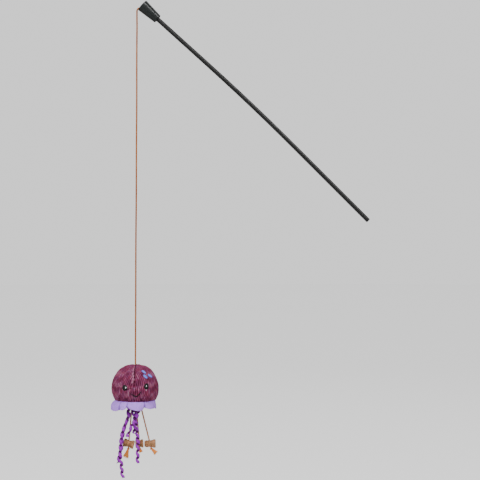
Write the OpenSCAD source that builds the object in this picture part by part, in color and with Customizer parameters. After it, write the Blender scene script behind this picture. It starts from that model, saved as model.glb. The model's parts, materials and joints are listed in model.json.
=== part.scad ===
// Cat teaser wand: a slightly bowed rod with a hollow end cap, a long thin cord and a stuffed
// sea-creature toy with a felt skirt, curled ribbons and wood sticks on short cords.
// Millimetres, +Z up. The origin is the middle of the straight grip; the cord hangs along -Z.

/* [Wand] */
// Diameter of the rod
rod_d = 7.2; // [5:0.1:8]
// Length of the straight grip
grip_len = 165; // [120:1:240]
// Length of the gently bowed middle
bow_len = 195; // [120:1:260]
// Straight length from the bow to the mouth of the cap
tip_len = 140; // [80:1:200]
// Tilt of the grip below level, in degrees
grip_tilt = 45; // [38:0.5:52]
// Turn over the bowed middle, in degrees
bow_turn = 2.9; // [1:0.1:6]
// Rounding of the free end
end_round = 1.4; // [0.5:0.1:2]

/* [End cap] */
// Length of the cap
cap_len = 33; // [28:0.5:44]
// Diameter of the wide end
cap_mouth_d = 20; // [18:0.1:26]
// Diameter of the narrow end
cap_neck_d = 14.4; // [12:0.1:18]
// Wall at the wide end
cap_wall = 1.8; // [1.2:0.1:2.4]
// Depth of the open recess in the wide end
recess_depth = 14; // [8:0.5:15]
// Thickness of the floor behind the recess
floor_wall = 3; // [2:0.1:3.5]
// Length of the room for the knot
knot_room = 6.5; // [6:0.1:7.5]

/* [Cord] */
// Diameter of the cord
cord_d = 2.4; // [1.6:0.1:2.6]
// Diameter of the knots inside the cap and the toy
knot_d = 5.2; // [4.6:0.1:5.6]
// Gap between the last cord pivot and the top of the toy
tail_len = 3; // [2.5:0.1:5]

/* [Head] */
// Diameter of the stuffed head
head_d = 74; // [66:1:84]
// Height of the stuffed head
head_h = 57; // [50:1:66]
// Thickness of the head's fabric
fabric_wall = 1.4; // [1:0.1:2]
// Depth of the dart seam in the forehead
dart_depth = 1.8; // [0.5:0.1:2.5]
// Width of the dart seam in the forehead
dart_w = 7; // [5:0.1:9]
// Thickness of the panel under the head
base_wall = 1.5; // [1:0.1:2.5]
// Depth of the knot below the top of the head
toy_knot_drop = 10; // [8:0.5:16]

/* [Face and spots] */
// Width of the left eye
left_eye_w = 8.2; // [5:0.1:10]
// Width of the right eye
right_eye_w = 6.8; // [5:0.1:10]
// Height of both eyes
eye_h = 9; // [6:0.1:11]
// Diameter of the light in each eye
light_d = 2.6; // [1.5:0.1:3.5]
// Thickness of the stitched patches
patch_wall = 0.9; // [0.5:0.1:1.5]
// Thickness of the mouth thread
mouth_d = 1.3; // [0.8:0.1:2]
// Length of a spot
spot_len = 9.4; // [5:0.1:10]
// Width of a spot
spot_w = 3.9; // [3:0.1:6]
// Length of a dart stitch
stitch_len = 3; // [2:0.1:4]
// Thickness of a dart stitch
stitch_d = 0.8; // [0.5:0.1:1.2]

/* [Skirt] */
// Drop of the longest lobe of the felt skirt
skirt_drop = 18; // [12:0.5:22]
// Mean flare of the skirt
skirt_flare = 4.4; // [3:0.1:7]
// Extra flare on the left, taken off on the right
skirt_lean = 2.8; // [0:0.1:3]
// Swell of each lobe
lobe_puff = 3.2; // [1:0.1:3.6]
// Thickness of the felt
felt_wall = 1.6; // [1:0.1:2]

/* [Curled ribbons] */
// Outer diameter of a curl
curl_d = 6.2; // [5:0.1:6.4]
// Pitch of a curl
curl_pitch = 10.7; // [9.5:0.1:14]
// Width of the ribbon
ribbon_w = 5.4; // [5:0.1:7]
// Width of the ribbon where it is gathered at its root
ribbon_tab_w = 4.8; // [3:0.1:5.5]
// Thickness of the ribbon
ribbon_wall = 0.8; // [0.5:0.1:1]
// Gap between the rows that the ribbons hang in
row_gap = 0.7; // [0.7:0.1:1.1]
// Drop of the far left ribbon
far_left_drop = 106.7; // [80:0.1:120]
// Drop of the left ribbon
left_drop = 126.7; // [100:0.1:140]
// Drop of the front ribbon
front_drop = 60.5; // [50:0.1:80]
// Drop of the short ribbon
short_drop = 57.9; // [45:0.1:80]
// Drop of the right ribbon
right_drop = 104.6; // [80:0.1:120]

/* [Wood sticks] */
// Length of the left stick
left_stick_len = 17.4; // [12:0.1:20]
// Length of the middle stick
middle_stick_len = 12.4; // [9:0.1:15]
// Length of the right stick
right_stick_len = 17.8; // [12:0.1:22]
// Diameter of a stick at its flared ends
stick_end_d = 13.8; // [11:0.1:14.2]
// Diameter of a stick at its waist
stick_waist_d = 10.8; // [9:0.1:11]
// Gap between neighbouring sticks
stick_gap = 2.2; // [1.6:0.1:4]
// Drop from the base panel to the middle of the sticks
stick_drop = 72; // [60:0.5:85]
// Diameter of the knot under each stick
stick_knot_d = 4.8; // [4:0.1:5.6]
// Length of the frayed end under the left stick
left_tassel_len = 14; // [8:0.1:16]
// Length of the frayed end under the middle stick
middle_tassel_len = 5; // [4:0.1:10]
// Length of the frayed end under the right stick
right_tassel_len = 10; // [5:0.1:14]

/* [Hidden] */

// Clearances and seams
press_gap = 0.02;
cord_gap = 0.15;
knot_gap = 0.4;
joint_gap = 0.3;
tip_run = 0.6;
seat_gap = 0.1;
root_gap = 0.5;
cloth_gap = 0.3;
cut_over = 1;
bow_lap = 0.5;
bow_step = 0.02;

// Facets: true curves, sides of a cord, columns round the head and the skirt
round_fn = 64;
small_fn = 32;
bow_fn = 4320 / bow_turn;
end_steps = 6;
cord_sides = 8;
mouth_sides = 6;
patch_sides = 24;
rings_per_curl = 8;
head_cols = 56;
skirt_cols = 80;
skirt_rows = 4;
hang_rings = 58;
mouth_rings = 10;
slope_step = 0.2;

// Radii of the wand
rod_r = rod_d / 2;
cord_r = cord_d / 2;
knot_r = knot_d / 2;
mouth_r = cap_mouth_d / 2;
neck_r = cap_neck_d / 2;
socket_r = rod_r + press_gap;
hole_r = cord_r + cord_gap;
recess_mouth_r = mouth_r - cap_wall;
recess_floor_share = 0.88;
lip_share = 0.35;
tip_share = 0.35;
knot_cut_share = 0.8;
rod_seat = recess_depth + floor_wall + knot_room;

// Line of the rod, from the free end up to the mouth of the cap
cap_tilt = grip_tilt - bow_turn;
bow_r = bow_len * 180 / (PI * bow_turn);
grip_down = [cos(grip_tilt), 0, -sin(grip_tilt)];
cap_down = [cos(cap_tilt), 0, -sin(cap_tilt)];
cap_side = [-sin(cap_tilt), 0, -cos(cap_tilt)];
grip_top = -grip_down * grip_len / 2;
bow_centre = grip_top - bow_r * [sin(grip_tilt), 0, cos(grip_tilt)];
bow_top = bow_centre + bow_r * [sin(cap_tilt), 0, cos(cap_tilt)];
mouth_at = bow_top - cap_down * tip_len;

// Route of the cord in the cap, as distance out of the mouth and distance to its low side
lead_route = [
    [-18.6, 0], [-14, 0], [-11.5, 0.3], [-9, 1.4], [-6.5, 3.2], [-4, 5], [-1.5, 6.2], [0.6, 7],
    [1.3, 8.1], [1.4, 9.4], [1.1, 10.7], [0.1, 12.6], [-1.6, 14.5], [-3.6, 16.7]
];
// Route of the hanging cord below its second pivot, as X and Z
hang_route = [
    [0, 0], [0.1, -10], [0, -25], [-0.2, -50], [-0.3, -80], [-0.3, -115], [-0.4, -150],
    [-0.7, -185], [-0.9, -220], [-1, -260], [-1.2, -300], [-1.6, -340], [-1.8, -380],
    [-1.9, -420], [-2, -460], [-2.2, -495], [-2.3, -520], [-2.4, -539.5], [-2.4, -548.2]
];
// Length of the bend between the two pivots at the cap
bend_route = [[0, 0], [0, -2], [0, -4], [0, -6], [0, -8]];

function from_mouth(p) = mouth_at - cap_down * p[0] + cap_side * p[1];
lead_points = [for (p = lead_route) from_mouth(p)];
swing_at = lead_points[len(lead_points) - 1];
sway_at = swing_at + [bend_route[4][0], 0, bend_route[4][1]];
hang_points = [for (p = hang_route) sway_at + [p[0], 0, p[1]]];
tilt_at = hang_points[len(hang_points) - 1];
toy_at = tilt_at - [0, 0, tail_len];

// Head outline from the cord hole to the bottom edge, as shares of its radius and height
head_shares = [
    [0.16, 0.006], [0.34, 0.036], [0.5, 0.078], [0.62, 0.125], [0.72, 0.182], [0.81, 0.264],
    [0.895, 0.36], [0.965, 0.475], [0.995, 0.57], [1, 0.65], [0.99, 0.755], [0.955, 0.853],
    [0.905, 0.932], [0.85, 1]
];
lining_rows = [12, 10, 8, 6, 4, 2, 0];
head_r = head_d / 2;
edge_r = head_r * head_shares[13][0];
lining_edge_r = edge_r - fabric_wall;
chamber_r = knot_r + knot_gap;
dart_drop_share = 0.43;
// Turn of the dart to the right of the front, in degrees
dart_turn = 1.8;
dart_fall = 4;

function head_r_at(drop) = lookup(drop, [for (s = head_shares) [s[1] * head_h, s[0] * head_r]]);
function head_slope_at(drop) =
    atan2(head_r_at(drop + fabric_wall) - head_r_at(drop - fabric_wall), 2 * fabric_wall);

// The base panel sits inside the bottom edge; the ribbons and the stick cords hang below it
base_r = lining_edge_r - seat_gap;
base_z = -head_h;
root_z = base_z - root_gap;

// Places on the face, as shares of the head's radius to the right and of its height down
left_eye_share = [-0.381, 0.596];
right_eye_share = [0.528, 0.558];
left_light_share = [-0.34, 0.588];
right_light_share = [0.512, 0.56];
upper_spot_share = [0.405, 0.18];
side_spot_share = [0.653, 0.29];
lower_spot_share = [0.47, 0.305];
mouth_shares = [
    [-0.122, 0.76], [-0.065, 0.788], [-0.005, 0.814], [0.061, 0.832], [0.134, 0.83], [0.223, 0.774],
    [0.303, 0.716]
];
stitch_shares = [0.06, 0.13, 0.2, 0.32, 0.4];
spot_turn = -40;

// Skirt lobes: start angle right of the front, drop of the crease there, drop of the lobe,
// and where along the lobe its lowest point lies
lobe_shares = [
    [-100, 0.36, 0.82, 0.76], [-39, 0.62, 0.67, 0.5], [-18, 0.34, 0.73, 0.68], [30, 0.45, 0.65, 0.45],
    [86, 0.52, 0.82, 0.5], [132, 0.6, 0.82, 0.5], [176, 0.6, 0.85, 0.45], [218, 0.56, 0.8, 0.5],
    [260, 0.36, 0.82, 0.76]
];
first_lobe = -lobe_shares[0][0];
skirt_top_r = edge_r - felt_wall / 2;
skirt_top_z = base_z - seat_gap;
// Powers that shape the hem between its creases, the swell of a lobe and the flare down the skirt
hem_power = 0.7;
swell_power = 0.6;
flare_power = 2.5;
swell_middle = 0.5;

// Depth of the row of sticks behind the middle of the head
stick_y_share = 0.5;
stick_y = base_r * stick_y_share;

// Ribbons: sideways lean at equal steps down each ribbon, as shares of its drop
far_left_shares = [0, -0.003, -0.009, -0.06, -0.093, -0.114, -0.124, -0.154, -0.165];
left_shares = [0, -0.004, -0.006, -0.045, -0.078, -0.096, -0.104, -0.106, -0.09, -0.082, -0.063];
front_shares = [0, -0.011, -0.05, -0.138, -0.215, -0.29, -0.352];
short_shares = [0, -0.003, -0.01, -0.033, -0.053, -0.064];
right_shares = [0, 0.009, 0.038, 0.07, 0.083, 0.092, 0.092, 0.088, 0.092];
// Place of each root, as a share of the base radius right of the middle
far_left_root_share = -0.34;
left_root_share = -0.318;
front_root_share = 0.28;
short_root_share = 0.06;
right_root_share = -0.168;
// Row that each ribbon hangs in, counted from the back
far_left_row = 0;
short_row = 1;
right_row = 2;
left_row = 3;
front_row = 4;
curl_r = (curl_d - ribbon_wall) / 2;
row_step = curl_d + row_gap;
tab_len = ribbon_w;
back_row_y = stick_y - stick_end_d / 2 - knot_gap - cord_r - curl_d / 2;
curl_rate = 360 / curl_pitch;
ribbon_flat_share = 1 / 3;

// Sticks hang in one row behind the ribbons, each on a straight cord through its middle
middle_stick_x_share = 0.17;
middle_stick_x = base_r * middle_stick_x_share;
left_stick_x = middle_stick_x - middle_stick_len / 2 - stick_gap - left_stick_len / 2;
right_stick_x = middle_stick_x + middle_stick_len / 2 + stick_gap + right_stick_len / 2;
middle_root_share = -0.3;
root_step_share = 2.1;
middle_root_x = cord_d * middle_root_share;
root_step = cord_d * root_step_share;
// Each stick: x of its cord's root, x of its middle, its length and turn, and its frayed end's
// length and turn
LEFT_STICK = [middle_root_x - root_step, left_stick_x, left_stick_len, 15, left_tassel_len, 14];
MIDDLE_STICK = [middle_root_x, middle_stick_x, middle_stick_len, -4, middle_tassel_len, -16];
RIGHT_STICK = [middle_root_x + root_step, right_stick_x, right_stick_len, -2, right_tassel_len, -34];
// Log outline from one end to the other, as shares of its length and of end or waist diameter
log_shares = [[0, 0, 0], [0, 0.84, 0], [0.05, 0.95, 0], [0.14, 1, 0], [0.26, 0.55, 0.42], [0.42, 0.1, 0.9],
    [0.56, 0, 1], [0.7, 0.35, 0.64], [0.84, 0.9, 0.08], [0.94, 0.97, 0], [1, 0.86, 0], [1, 0, 0]];
stick_knot_r = stick_knot_d / 2;
strand_r = cord_r / 3;
strand_count = 6;
strand_spread = 17;
strand_flare = 1.4;
strand_fn = 16;
core_share = 1 / 3;

// General functions

function smooth_step(t) = let (c = max(0, min(1, t))) c * c * (3 - 2 * c);

// A curve through a list of values at equal steps
function along_list(list, t) =
    let (
        n = len(list) - 1,
        at = max(0, min(1, t)) * n,
        i = min(n - 1, floor(at)),
        f = at - i,
        a = list[max(0, i - 1)], b = list[i], c = list[i + 1], d = list[min(n, i + 2)]
    )
    b + f * (c - a) / 2 + f * f * (a - 2.5 * b + 2 * c - d / 2) + f * f * f * (1.5 * (b - c) + (d - a) / 2);

function unit(v) = v / norm(v);

// Rings of points square to a path that stays in an XZ plane
function path_rings(points, count, r, sides) = [
    for (k = [0 : count - 1])
        let (
            t = k / (count - 1),
            step = slope_step / (count - 1),
            at = along_list(points, t),
            ahead = unit(along_list(points, t + step) - along_list(points, t - step)),
            across = cross(ahead, [0, 1, 0])
        )
        [
            for (j = [0 : sides - 1])
                at + r * (cos(360 * j / sides) * across + sin(360 * j / sides) * [0, 1, 0])
        ]
];

// The same points with the ends that meet a pivot moved back along the path
function trimmed(points, start, end) =
    let (n = len(points) - 1, back = joint_gap + tip_run)
    [
        points[0] + (start ? unit(points[1] - points[0]) * back : [0, 0, 0]),
        for (k = [1 : n - 1]) points[k],
        points[n] - (end ? unit(points[n] - points[n - 1]) * back : [0, 0, 0])
    ];

function ring_middle(ring) = (ring[0] + ring[len(ring) / 2]) / 2;

// A small ring ahead of the last one, so that an end at a pivot is rounded off
function tip_ring(ring, inner) =
    let (middle = ring_middle(ring), ahead = unit(middle - ring_middle(inner)))
    [for (p = ring) middle + ahead * tip_run + (p - middle) * tip_share];

// A length of cord; an end that meets a pivot stops short of it and is rounded off
module cord(points, count, start, end) {
    rings = path_rings(trimmed(points, start, end), count, cord_r, cord_sides);
    n = len(rings) - 1;
    tube([
        if (start) tip_ring(rings[0], rings[1]),
        each rings,
        if (end) tip_ring(rings[n], rings[n - 1])
    ]);
}

// One closed tube through a list of rings with the same number of points
module tube(rings) {
    sides = len(rings[0]);
    last = (len(rings) - 1) * sides;
    polyhedron(
        points = [for (ring = rings) each ring],
        faces = [
            for (k = [0 : len(rings) - 2], j = [0 : sides - 1], half = [0, 1])
                let (a = k * sides + j, b = k * sides + (j + 1) % sides)
                half == 0 ? [a, b, b + sides] : [a, b + sides, a + sides],
            for (j = [1 : sides - 2]) [0, j + 1, j],
            for (j = [1 : sides - 2]) [last, last + j, last + j + 1]
        ]
    );
}

// One closed shell whose grid joins up both round the axis and round its wall
module ring_shell(rows) {
    cols = len(rows[0]);
    count = len(rows);
    polyhedron(
        points = [for (row = rows) each row],
        faces = [
            for (k = [0 : count - 1], j = [0 : cols - 1], half = [0, 1])
                let (
                    a = k * cols + j,
                    b = k * cols + (j + 1) % cols,
                    c = ((k + 1) % count) * cols + (j + 1) % cols,
                    d = ((k + 1) % count) * cols + j
                )
                half == 0 ? [a, b, c] : [a, c, d]
        ]
    );
}

// Turns the vertical axis to a direction in the XZ plane, given as degrees from straight up
module lean(degrees) {
    rotate([0, degrees, 0]) children();
}

// Wand

// The straight ends run a little way over the bowed middle, which is a hair thinner
module rod() {
    color("#1e1e1d") {
        lean(90 + grip_tilt) translate([0, 0, -grip_len / 2 - bow_lap])
            rotate_extrude($fn = round_fn) polygon([
                [0, 0], [rod_r, 0],
                for (k = [0 : end_steps])
                    [
                        rod_r - end_round * (1 - cos(90 * k / end_steps)),
                        grip_len + bow_lap - end_round * (1 - sin(90 * k / end_steps))
                    ],
                [0, grip_len + bow_lap]
            ]);
        translate(bow_centre) rotate([90, 0, 0]) rotate([0, 0, 90 - grip_tilt])
            rotate_extrude(angle = bow_turn, $fn = bow_fn)
                translate([bow_r, 0]) circle(r = rod_r - bow_step, $fn = round_fn);
        translate(bow_top + cap_down * bow_lap) lean(cap_tilt - 90)
            cylinder(r = rod_r, h = tip_len - rod_seat + bow_lap, $fn = round_fn);
    }
}

module end_cap() {
    lip = cap_wall * lip_share;
    color("#33383a") translate(mouth_at) lean(90 + cap_tilt) rotate_extrude($fn = round_fn) polygon([
        [recess_mouth_r, 0], [mouth_r - lip, 0], [mouth_r, lip],
        [neck_r, cap_len - lip], [neck_r - lip, cap_len], [socket_r, cap_len],
        [socket_r, recess_depth + floor_wall], [hole_r, recess_depth + floor_wall],
        [hole_r, recess_depth], [recess_mouth_r * recess_floor_share, recess_depth]
    ]);
}

// A knot: a ball with one turn of cord round it, cut flat where the cord comes out
module knot(r) {
    flat = sqrt(r * r - hole_r * hole_r);
    difference() {
        union() {
            sphere(r = r - cord_r / 4, $fn = small_fn);
            rotate_extrude($fn = small_fn) translate([r - cord_r, 0]) circle(r = cord_r, $fn = small_fn);
        }
        translate([-r - cut_over, -r - cut_over, flat * knot_cut_share])
            cube([r + cut_over, r + cut_over, r] * 2);
    }
}

function knot_top(r) = sqrt(r * r - hole_r * hole_r) * knot_cut_share;

module anchor_knot() {
    color("#cfa078") translate(lead_points[0] + cap_down * (knot_top(knot_r) + press_gap))
        lean(cap_tilt - 90) knot(knot_r);
}

module cord_lead() {
    color("#d1a075") cord(lead_points, len(lead_points) + 4, false, true);
}

module cord_bend() {
    points = [for (p = bend_route) swing_at + [p[0], 0, p[1]]];
    color("#d1a075") cord(points, len(points), true, true);
}

module hang_cord() {
    color("#d1a075") cord(hang_points, hang_rings, true, true);
}

// The toy is drawn with its own origin where the cord enters the head, and set in place by toy()

module toy() {
    translate(toy_at) children();
}

module cord_tail() {
    bottom = -toy_knot_drop + knot_top(knot_r) + press_gap;
    color("#d1a075") toy() cord([[0, 0, tail_len], [0, 0, bottom]], 4, true, false);
}

module toy_knot() {
    color("#cfa078") toy() translate([0, 0, -toy_knot_drop]) knot(knot_r);
}

// Depth of the forehead dart at a place on the head
function dart_at(angle, drop) =
    let (
        side = angle + 90 - dart_turn,
        across = head_r_at(drop) * sin(side) / dart_w,
        fade = smooth_step((dart_drop_share * head_h - drop) / (dart_drop_share * head_h / 2))
    )
    cos(side) < 0 ? 0 :
        dart_depth * fade * smooth_step(drop / dart_w) * exp(-dart_fall * across * across);

// One row of points round the head; inset moves it inwards square to the surface
function head_row(i, inset) = [
    for (j = [0 : head_cols - 1])
        let (
            angle = 360 * j / head_cols,
            drop = head_shares[i][1] * head_h,
            slope = head_slope_at(drop),
            r = head_shares[i][0] * head_r - dart_at(angle, drop) - inset * cos(slope),
            z = -drop - (i == len(head_shares) - 1 ? 0 : inset * sin(slope))
        )
        [r * cos(angle), r * sin(angle), z]
];

function hole_row(z) = [
    for (j = [0 : head_cols - 1]) [hole_r * cos(360 * j / head_cols), hole_r * sin(360 * j / head_cols), z]
];

module head_cover() {
    color("#82436a") toy() ring_shell([
        for (i = [len(head_shares) - 1 : -1 : 0]) head_row(i, 0),
        hole_row(0),
        hole_row(-fabric_wall),
        for (k = [len(lining_rows) - 1 : -1 : 0]) head_row(lining_rows[k], fabric_wall),
        head_row(len(head_shares) - 1, fabric_wall)
    ]);
}

module head_stuffing() {
    inset = fabric_wall + dart_depth + cloth_gap;
    top = fabric_wall + cloth_gap;
    bottom = head_h - base_wall - cloth_gap;
    channel_r = cord_r + knot_gap;
    chamber_top = toy_knot_drop - chamber_r;
    color("#f2efe8") toy() rotate_extrude($fn = round_fn) polygon([
        [channel_r, -top - inset],
        for (i = [1 : len(head_shares) - 2])
            let (drop = head_shares[i][1] * head_h)
            if (drop > top + inset && drop < bottom - inset) [head_shares[i][0] * head_r - inset, -drop],
        [edge_r - inset, -bottom],
        [0, -bottom],
        [0, -toy_knot_drop - chamber_r],
        [chamber_r, -toy_knot_drop - chamber_r],
        [chamber_r, -chamber_top],
        [channel_r, -chamber_top]
    ]);
}

module base_panel() {
    color("#82436a") toy() translate([0, 0, base_z]) cylinder(r = base_r, h = base_wall, $fn = round_fn);
}

// Drop of the skirt's hem at an angle, as a share of its longest lobe
function hem_share(angle) =
    let (
        right_of_front = (angle + 90 + first_lobe) % 360 - first_lobe,
        hit = [for (k = [0 : len(lobe_shares) - 2])
            if (right_of_front >= lobe_shares[k][0] && right_of_front < lobe_shares[k + 1][0]) k],
        k = hit[0],
        here = lobe_shares[k], next = lobe_shares[k + 1],
        t = (right_of_front - here[0]) / (next[0] - here[0]),
        peak = here[3],
        w = t < peak ? t / peak : (1 - t) / (1 - peak),
        crease = t < peak ? here[1] : next[1]
    )
    [crease + (here[2] - crease) * pow(sin(90 * w), hem_power), pow(sin(180 * t), swell_power)];

function skirt_point(angle, t, inset) =
    let (
        hem = hem_share(angle),
        flare = skirt_flare - skirt_lean * cos(angle),
        out = 1 - pow(1 - t, flare_power),
        r = skirt_top_r + flare * out + lobe_puff * (hem[1] - swell_middle) * t - inset
    )
    [r * cos(angle), r * sin(angle), skirt_top_z - t * hem[0] * skirt_drop];

function skirt_row(t, inset) = [
    for (j = [0 : skirt_cols - 1]) skirt_point(360 * j / skirt_cols, t, inset)
];

module felt_skirt() {
    color("#ab8ccb") toy() ring_shell([
        for (k = [skirt_rows : -1 : 0])
            skirt_row(k / skirt_rows, -felt_wall / 2),
        for (k = [0 : skirt_rows])
            skirt_row(k / skirt_rows, felt_wall / 2)
    ]);
}

// Sets a flat piece on the front of the head: a share right of the middle, a share down, a lift
module on_face(place_share, lift) {
    drop = place_share[1] * head_h;
    r = head_r_at(drop);
    side = asin(place_share[0] * head_r / r);
    toy() rotate([0, 0, side]) translate([0, -r, -drop]) rotate([90 - head_slope_at(drop), 0, 0])
        translate([0, 0, lift]) children();
}

module oval(w, h) {
    linear_extrude(patch_wall) polygon([
        for (k = [0 : patch_sides - 1])
            [w / 2 * cos(360 * k / patch_sides), h / 2 * sin(360 * k / patch_sides)]
    ]);
}

module eye_left() {
    color("#141314") on_face(left_eye_share, seat_gap) oval(left_eye_w, eye_h);
}

module eye_right() {
    color("#141314") on_face(right_eye_share, seat_gap) oval(right_eye_w, eye_h);
}

module eye_light(place_share) {
    color("white") on_face(place_share, seat_gap * 3 + patch_wall)
        cylinder(d = light_d, h = patch_wall, $fn = small_fn);
}

module spot(place_share) {
    color("#a7b8fb") on_face(place_share, seat_gap) rotate([0, 0, spot_turn]) oval(spot_len, spot_w);
}

module mouth_thread() {
    points = [
        for (s = mouth_shares)
            let (drop = s[1] * head_h, r = head_r_at(drop) + mouth_d / 2 + seat_gap, x = s[0] * head_r)
            [x, -sqrt(r * r - x * x), -drop]
    ];
    rings = [
        for (k = [0 : mouth_rings - 1])
            let (
                t = k / (mouth_rings - 1),
                step = slope_step / (mouth_rings - 1),
                at = along_list(points, t),
                ahead = unit(along_list(points, t + step) - along_list(points, t - step)),
                out = unit([at[0], at[1], 0]),
                across = unit(cross(ahead, out)),
                up = cross(across, ahead)
            )
            [for (j = [0 : mouth_sides - 1])
                at + mouth_d / 2 * (cos(360 * j / mouth_sides) * across - sin(360 * j / mouth_sides) * up)]
    ];
    color("#2a1620") toy() tube(rings);
}

module dart_stitches() {
    color("#d6a3c4") for (s = stitch_shares)
        let (drop = s * head_h, r = head_r_at(drop))
        toy() rotate([0, 0, dart_turn]) translate([0, -r, -drop]) rotate([90 - head_slope_at(drop), 0, 0])
            translate([-stitch_len / 2, 0, stitch_d / 2 + seat_gap - dart_at(dart_turn - 90, drop) / 2])
                rotate([0, 90, 0]) cylinder(d = stitch_d, h = stitch_len, $fn = small_fn);
}

// Curled ribbons

// Degrees that the ribbon has turned after a length down its axis, easing in below the root tab
function turned(z) = z < tab_len ? curl_rate * z * z / (2 * tab_len) : curl_rate * (z - tab_len / 2);

function ribbon_rings(lean_list, drop) =
    let (count = floor(drop / curl_pitch * rings_per_curl), step = (drop - ribbon_w / 2) / count)
    [
        for (k = [0 : count])
            let (
                z = k * step,
                rate = curl_rate * min(1, z / tab_len) * PI / 180,
                slant = atan2(1, curl_r * rate),
                w = ribbon_tab_w + (ribbon_w - ribbon_tab_w) * smooth_step(z / tab_len)
            )
            [
                for (c = [[-1, 0], [-1, 1], [1, 1], [1, 0], [1, -1], [-1, -1]])
                    let (
                        along = c[0] * w / 2 * (c[1] == 0 ? 1 : ribbon_flat_share),
                        r = curl_r + c[1] * ribbon_wall / 2,
                        angle = turned(z) - along * sin(slant) / curl_r * 180 / PI,
                        depth = z + along * cos(slant),
                        x = along_list(lean_list, depth / drop) * drop
                    )
                    [x + r * cos(angle), r * sin(angle), -depth]
            ]
    ];

// Least distance between points of one turn of a ribbon and points of the next
function turn_gap(rings) = min([
    for (i = [0 : len(rings) - rings_per_curl], k = [rings_per_curl - 2 : rings_per_curl + 1])
        if (i + k < len(rings)) for (p = rings[i], q = rings[i + k]) norm(p - q)
]);

module ribbon(lean_list, drop, root_share, row) {
    rings = ribbon_rings(lean_list, drop);
    echo(least_gap_between_turns_mm = turn_gap(rings));
    color("#a94ec6") toy() translate([root_share * base_r, back_row_y - row * row_step, root_z]) tube(rings);
}

// Wood sticks on their cords: a cord leans from its root to the middle of its stick, and its
// knot sits against the stick's waist

function stick_lean(spec) = atan2(spec[1] - spec[0], stick_drop);
function stick_run(spec) = norm([spec[1] - spec[0], stick_drop]);
function knot_down(spec) =
    stick_run(spec) + (stick_waist_d / 2 + stick_knot_r + knot_gap) / cos(stick_lean(spec) + spec[3]);

module on_stick_cord(spec, down) {
    toy() translate([spec[0], stick_y, root_z]) lean(-stick_lean(spec)) translate([0, 0, -down]) children();
}

module stick_cord(spec) {
    bottom = knot_top(stick_knot_r) + press_gap - knot_down(spec);
    color("#cf9d74") on_stick_cord(spec, 0) cord([[0, 0, joint_gap], [0, 0, bottom]], 4, true, false);
}

module stick(spec) {
    color("#9c7456") difference() {
        toy() translate([spec[1], stick_y, root_z - stick_drop]) rotate([0, spec[3], 0]) rotate([0, 90, 0])
            translate([0, 0, -spec[2] / 2]) rotate_extrude($fn = round_fn)
                polygon([
                    for (s = log_shares)
                        [(s[1] * stick_end_d + s[2] * stick_waist_d) / 2, s[0] * spec[2]]
                ]);
        on_stick_cord(spec, stick_run(spec) + stick_end_d)
            cylinder(r = hole_r, h = stick_end_d * 2, $fn = round_fn);
    }
}

module stick_knot(spec) {
    color("#d99a5f") on_stick_cord(spec, knot_down(spec)) knot(stick_knot_r);
}

// A frayed cord end: thin strands that spread from the middle of the knot and start at its skin
module tassel(spec) {
    length = spec[4];
    color("#f0a468") on_stick_cord(spec, knot_down(spec)) rotate([0, spec[5], 0]) difference() {
        union() {
            for (k = [0 : strand_count - 1])
                rotate([0, 0, 360 * k / strand_count]) rotate([0, 180 - strand_spread, 0]) cylinder(
                    r1 = strand_r, r2 = strand_r * strand_flare, h = stick_knot_r + length, $fn = strand_fn
                );
            rotate([180, 0, 0]) cylinder(r = cord_r, h = stick_knot_r + length * core_share, $fn = small_fn);
        }
        sphere(r = stick_knot_r + press_gap, $fn = small_fn);
    }
}

rod();
end_cap();
anchor_knot();
cord_lead();
cord_bend();
hang_cord();
cord_tail();
toy_knot();
head_cover();
head_stuffing();
base_panel();
felt_skirt();
eye_left();
eye_right();
eye_light(left_light_share);  // eye_light_left
eye_light(right_light_share);  // eye_light_right
mouth_thread();
spot(upper_spot_share);  // spot_upper
spot(side_spot_share);  // spot_side
spot(lower_spot_share);  // spot_lower
dart_stitches();
ribbon(far_left_shares, far_left_drop, far_left_root_share, far_left_row);  // ribbon_far_left
ribbon(left_shares, left_drop, left_root_share, left_row);  // ribbon_left
ribbon(front_shares, front_drop, front_root_share, front_row);  // ribbon_front
ribbon(short_shares, short_drop, short_root_share, short_row);  // ribbon_short
ribbon(right_shares, right_drop, right_root_share, right_row);  // ribbon_right
stick_cord(LEFT_STICK);  // stick_cord_left
stick_cord(MIDDLE_STICK);  // stick_cord_middle
stick_cord(RIGHT_STICK);  // stick_cord_right
stick(LEFT_STICK);  // stick_left
stick(MIDDLE_STICK);  // stick_middle
stick(RIGHT_STICK);  // stick_right
stick_knot(LEFT_STICK);  // stick_knot_left
stick_knot(MIDDLE_STICK);  // stick_knot_middle
stick_knot(RIGHT_STICK);  // stick_knot_right
tassel(LEFT_STICK);  // tassel_left
tassel(MIDDLE_STICK);  // tassel_middle
tassel(RIGHT_STICK);  // tassel_right
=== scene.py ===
"""Cat teaser wand: the finished looks of the rod, its cord and the stuffed toy.

Metres, +Z up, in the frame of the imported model. The origin is the middle of the straight grip, the
cord hangs along -Z and the toy's face looks along -Y.
"""

import json
import logging
import math
from dataclasses import dataclass, field
from enum import Enum
from typing import Any

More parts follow.
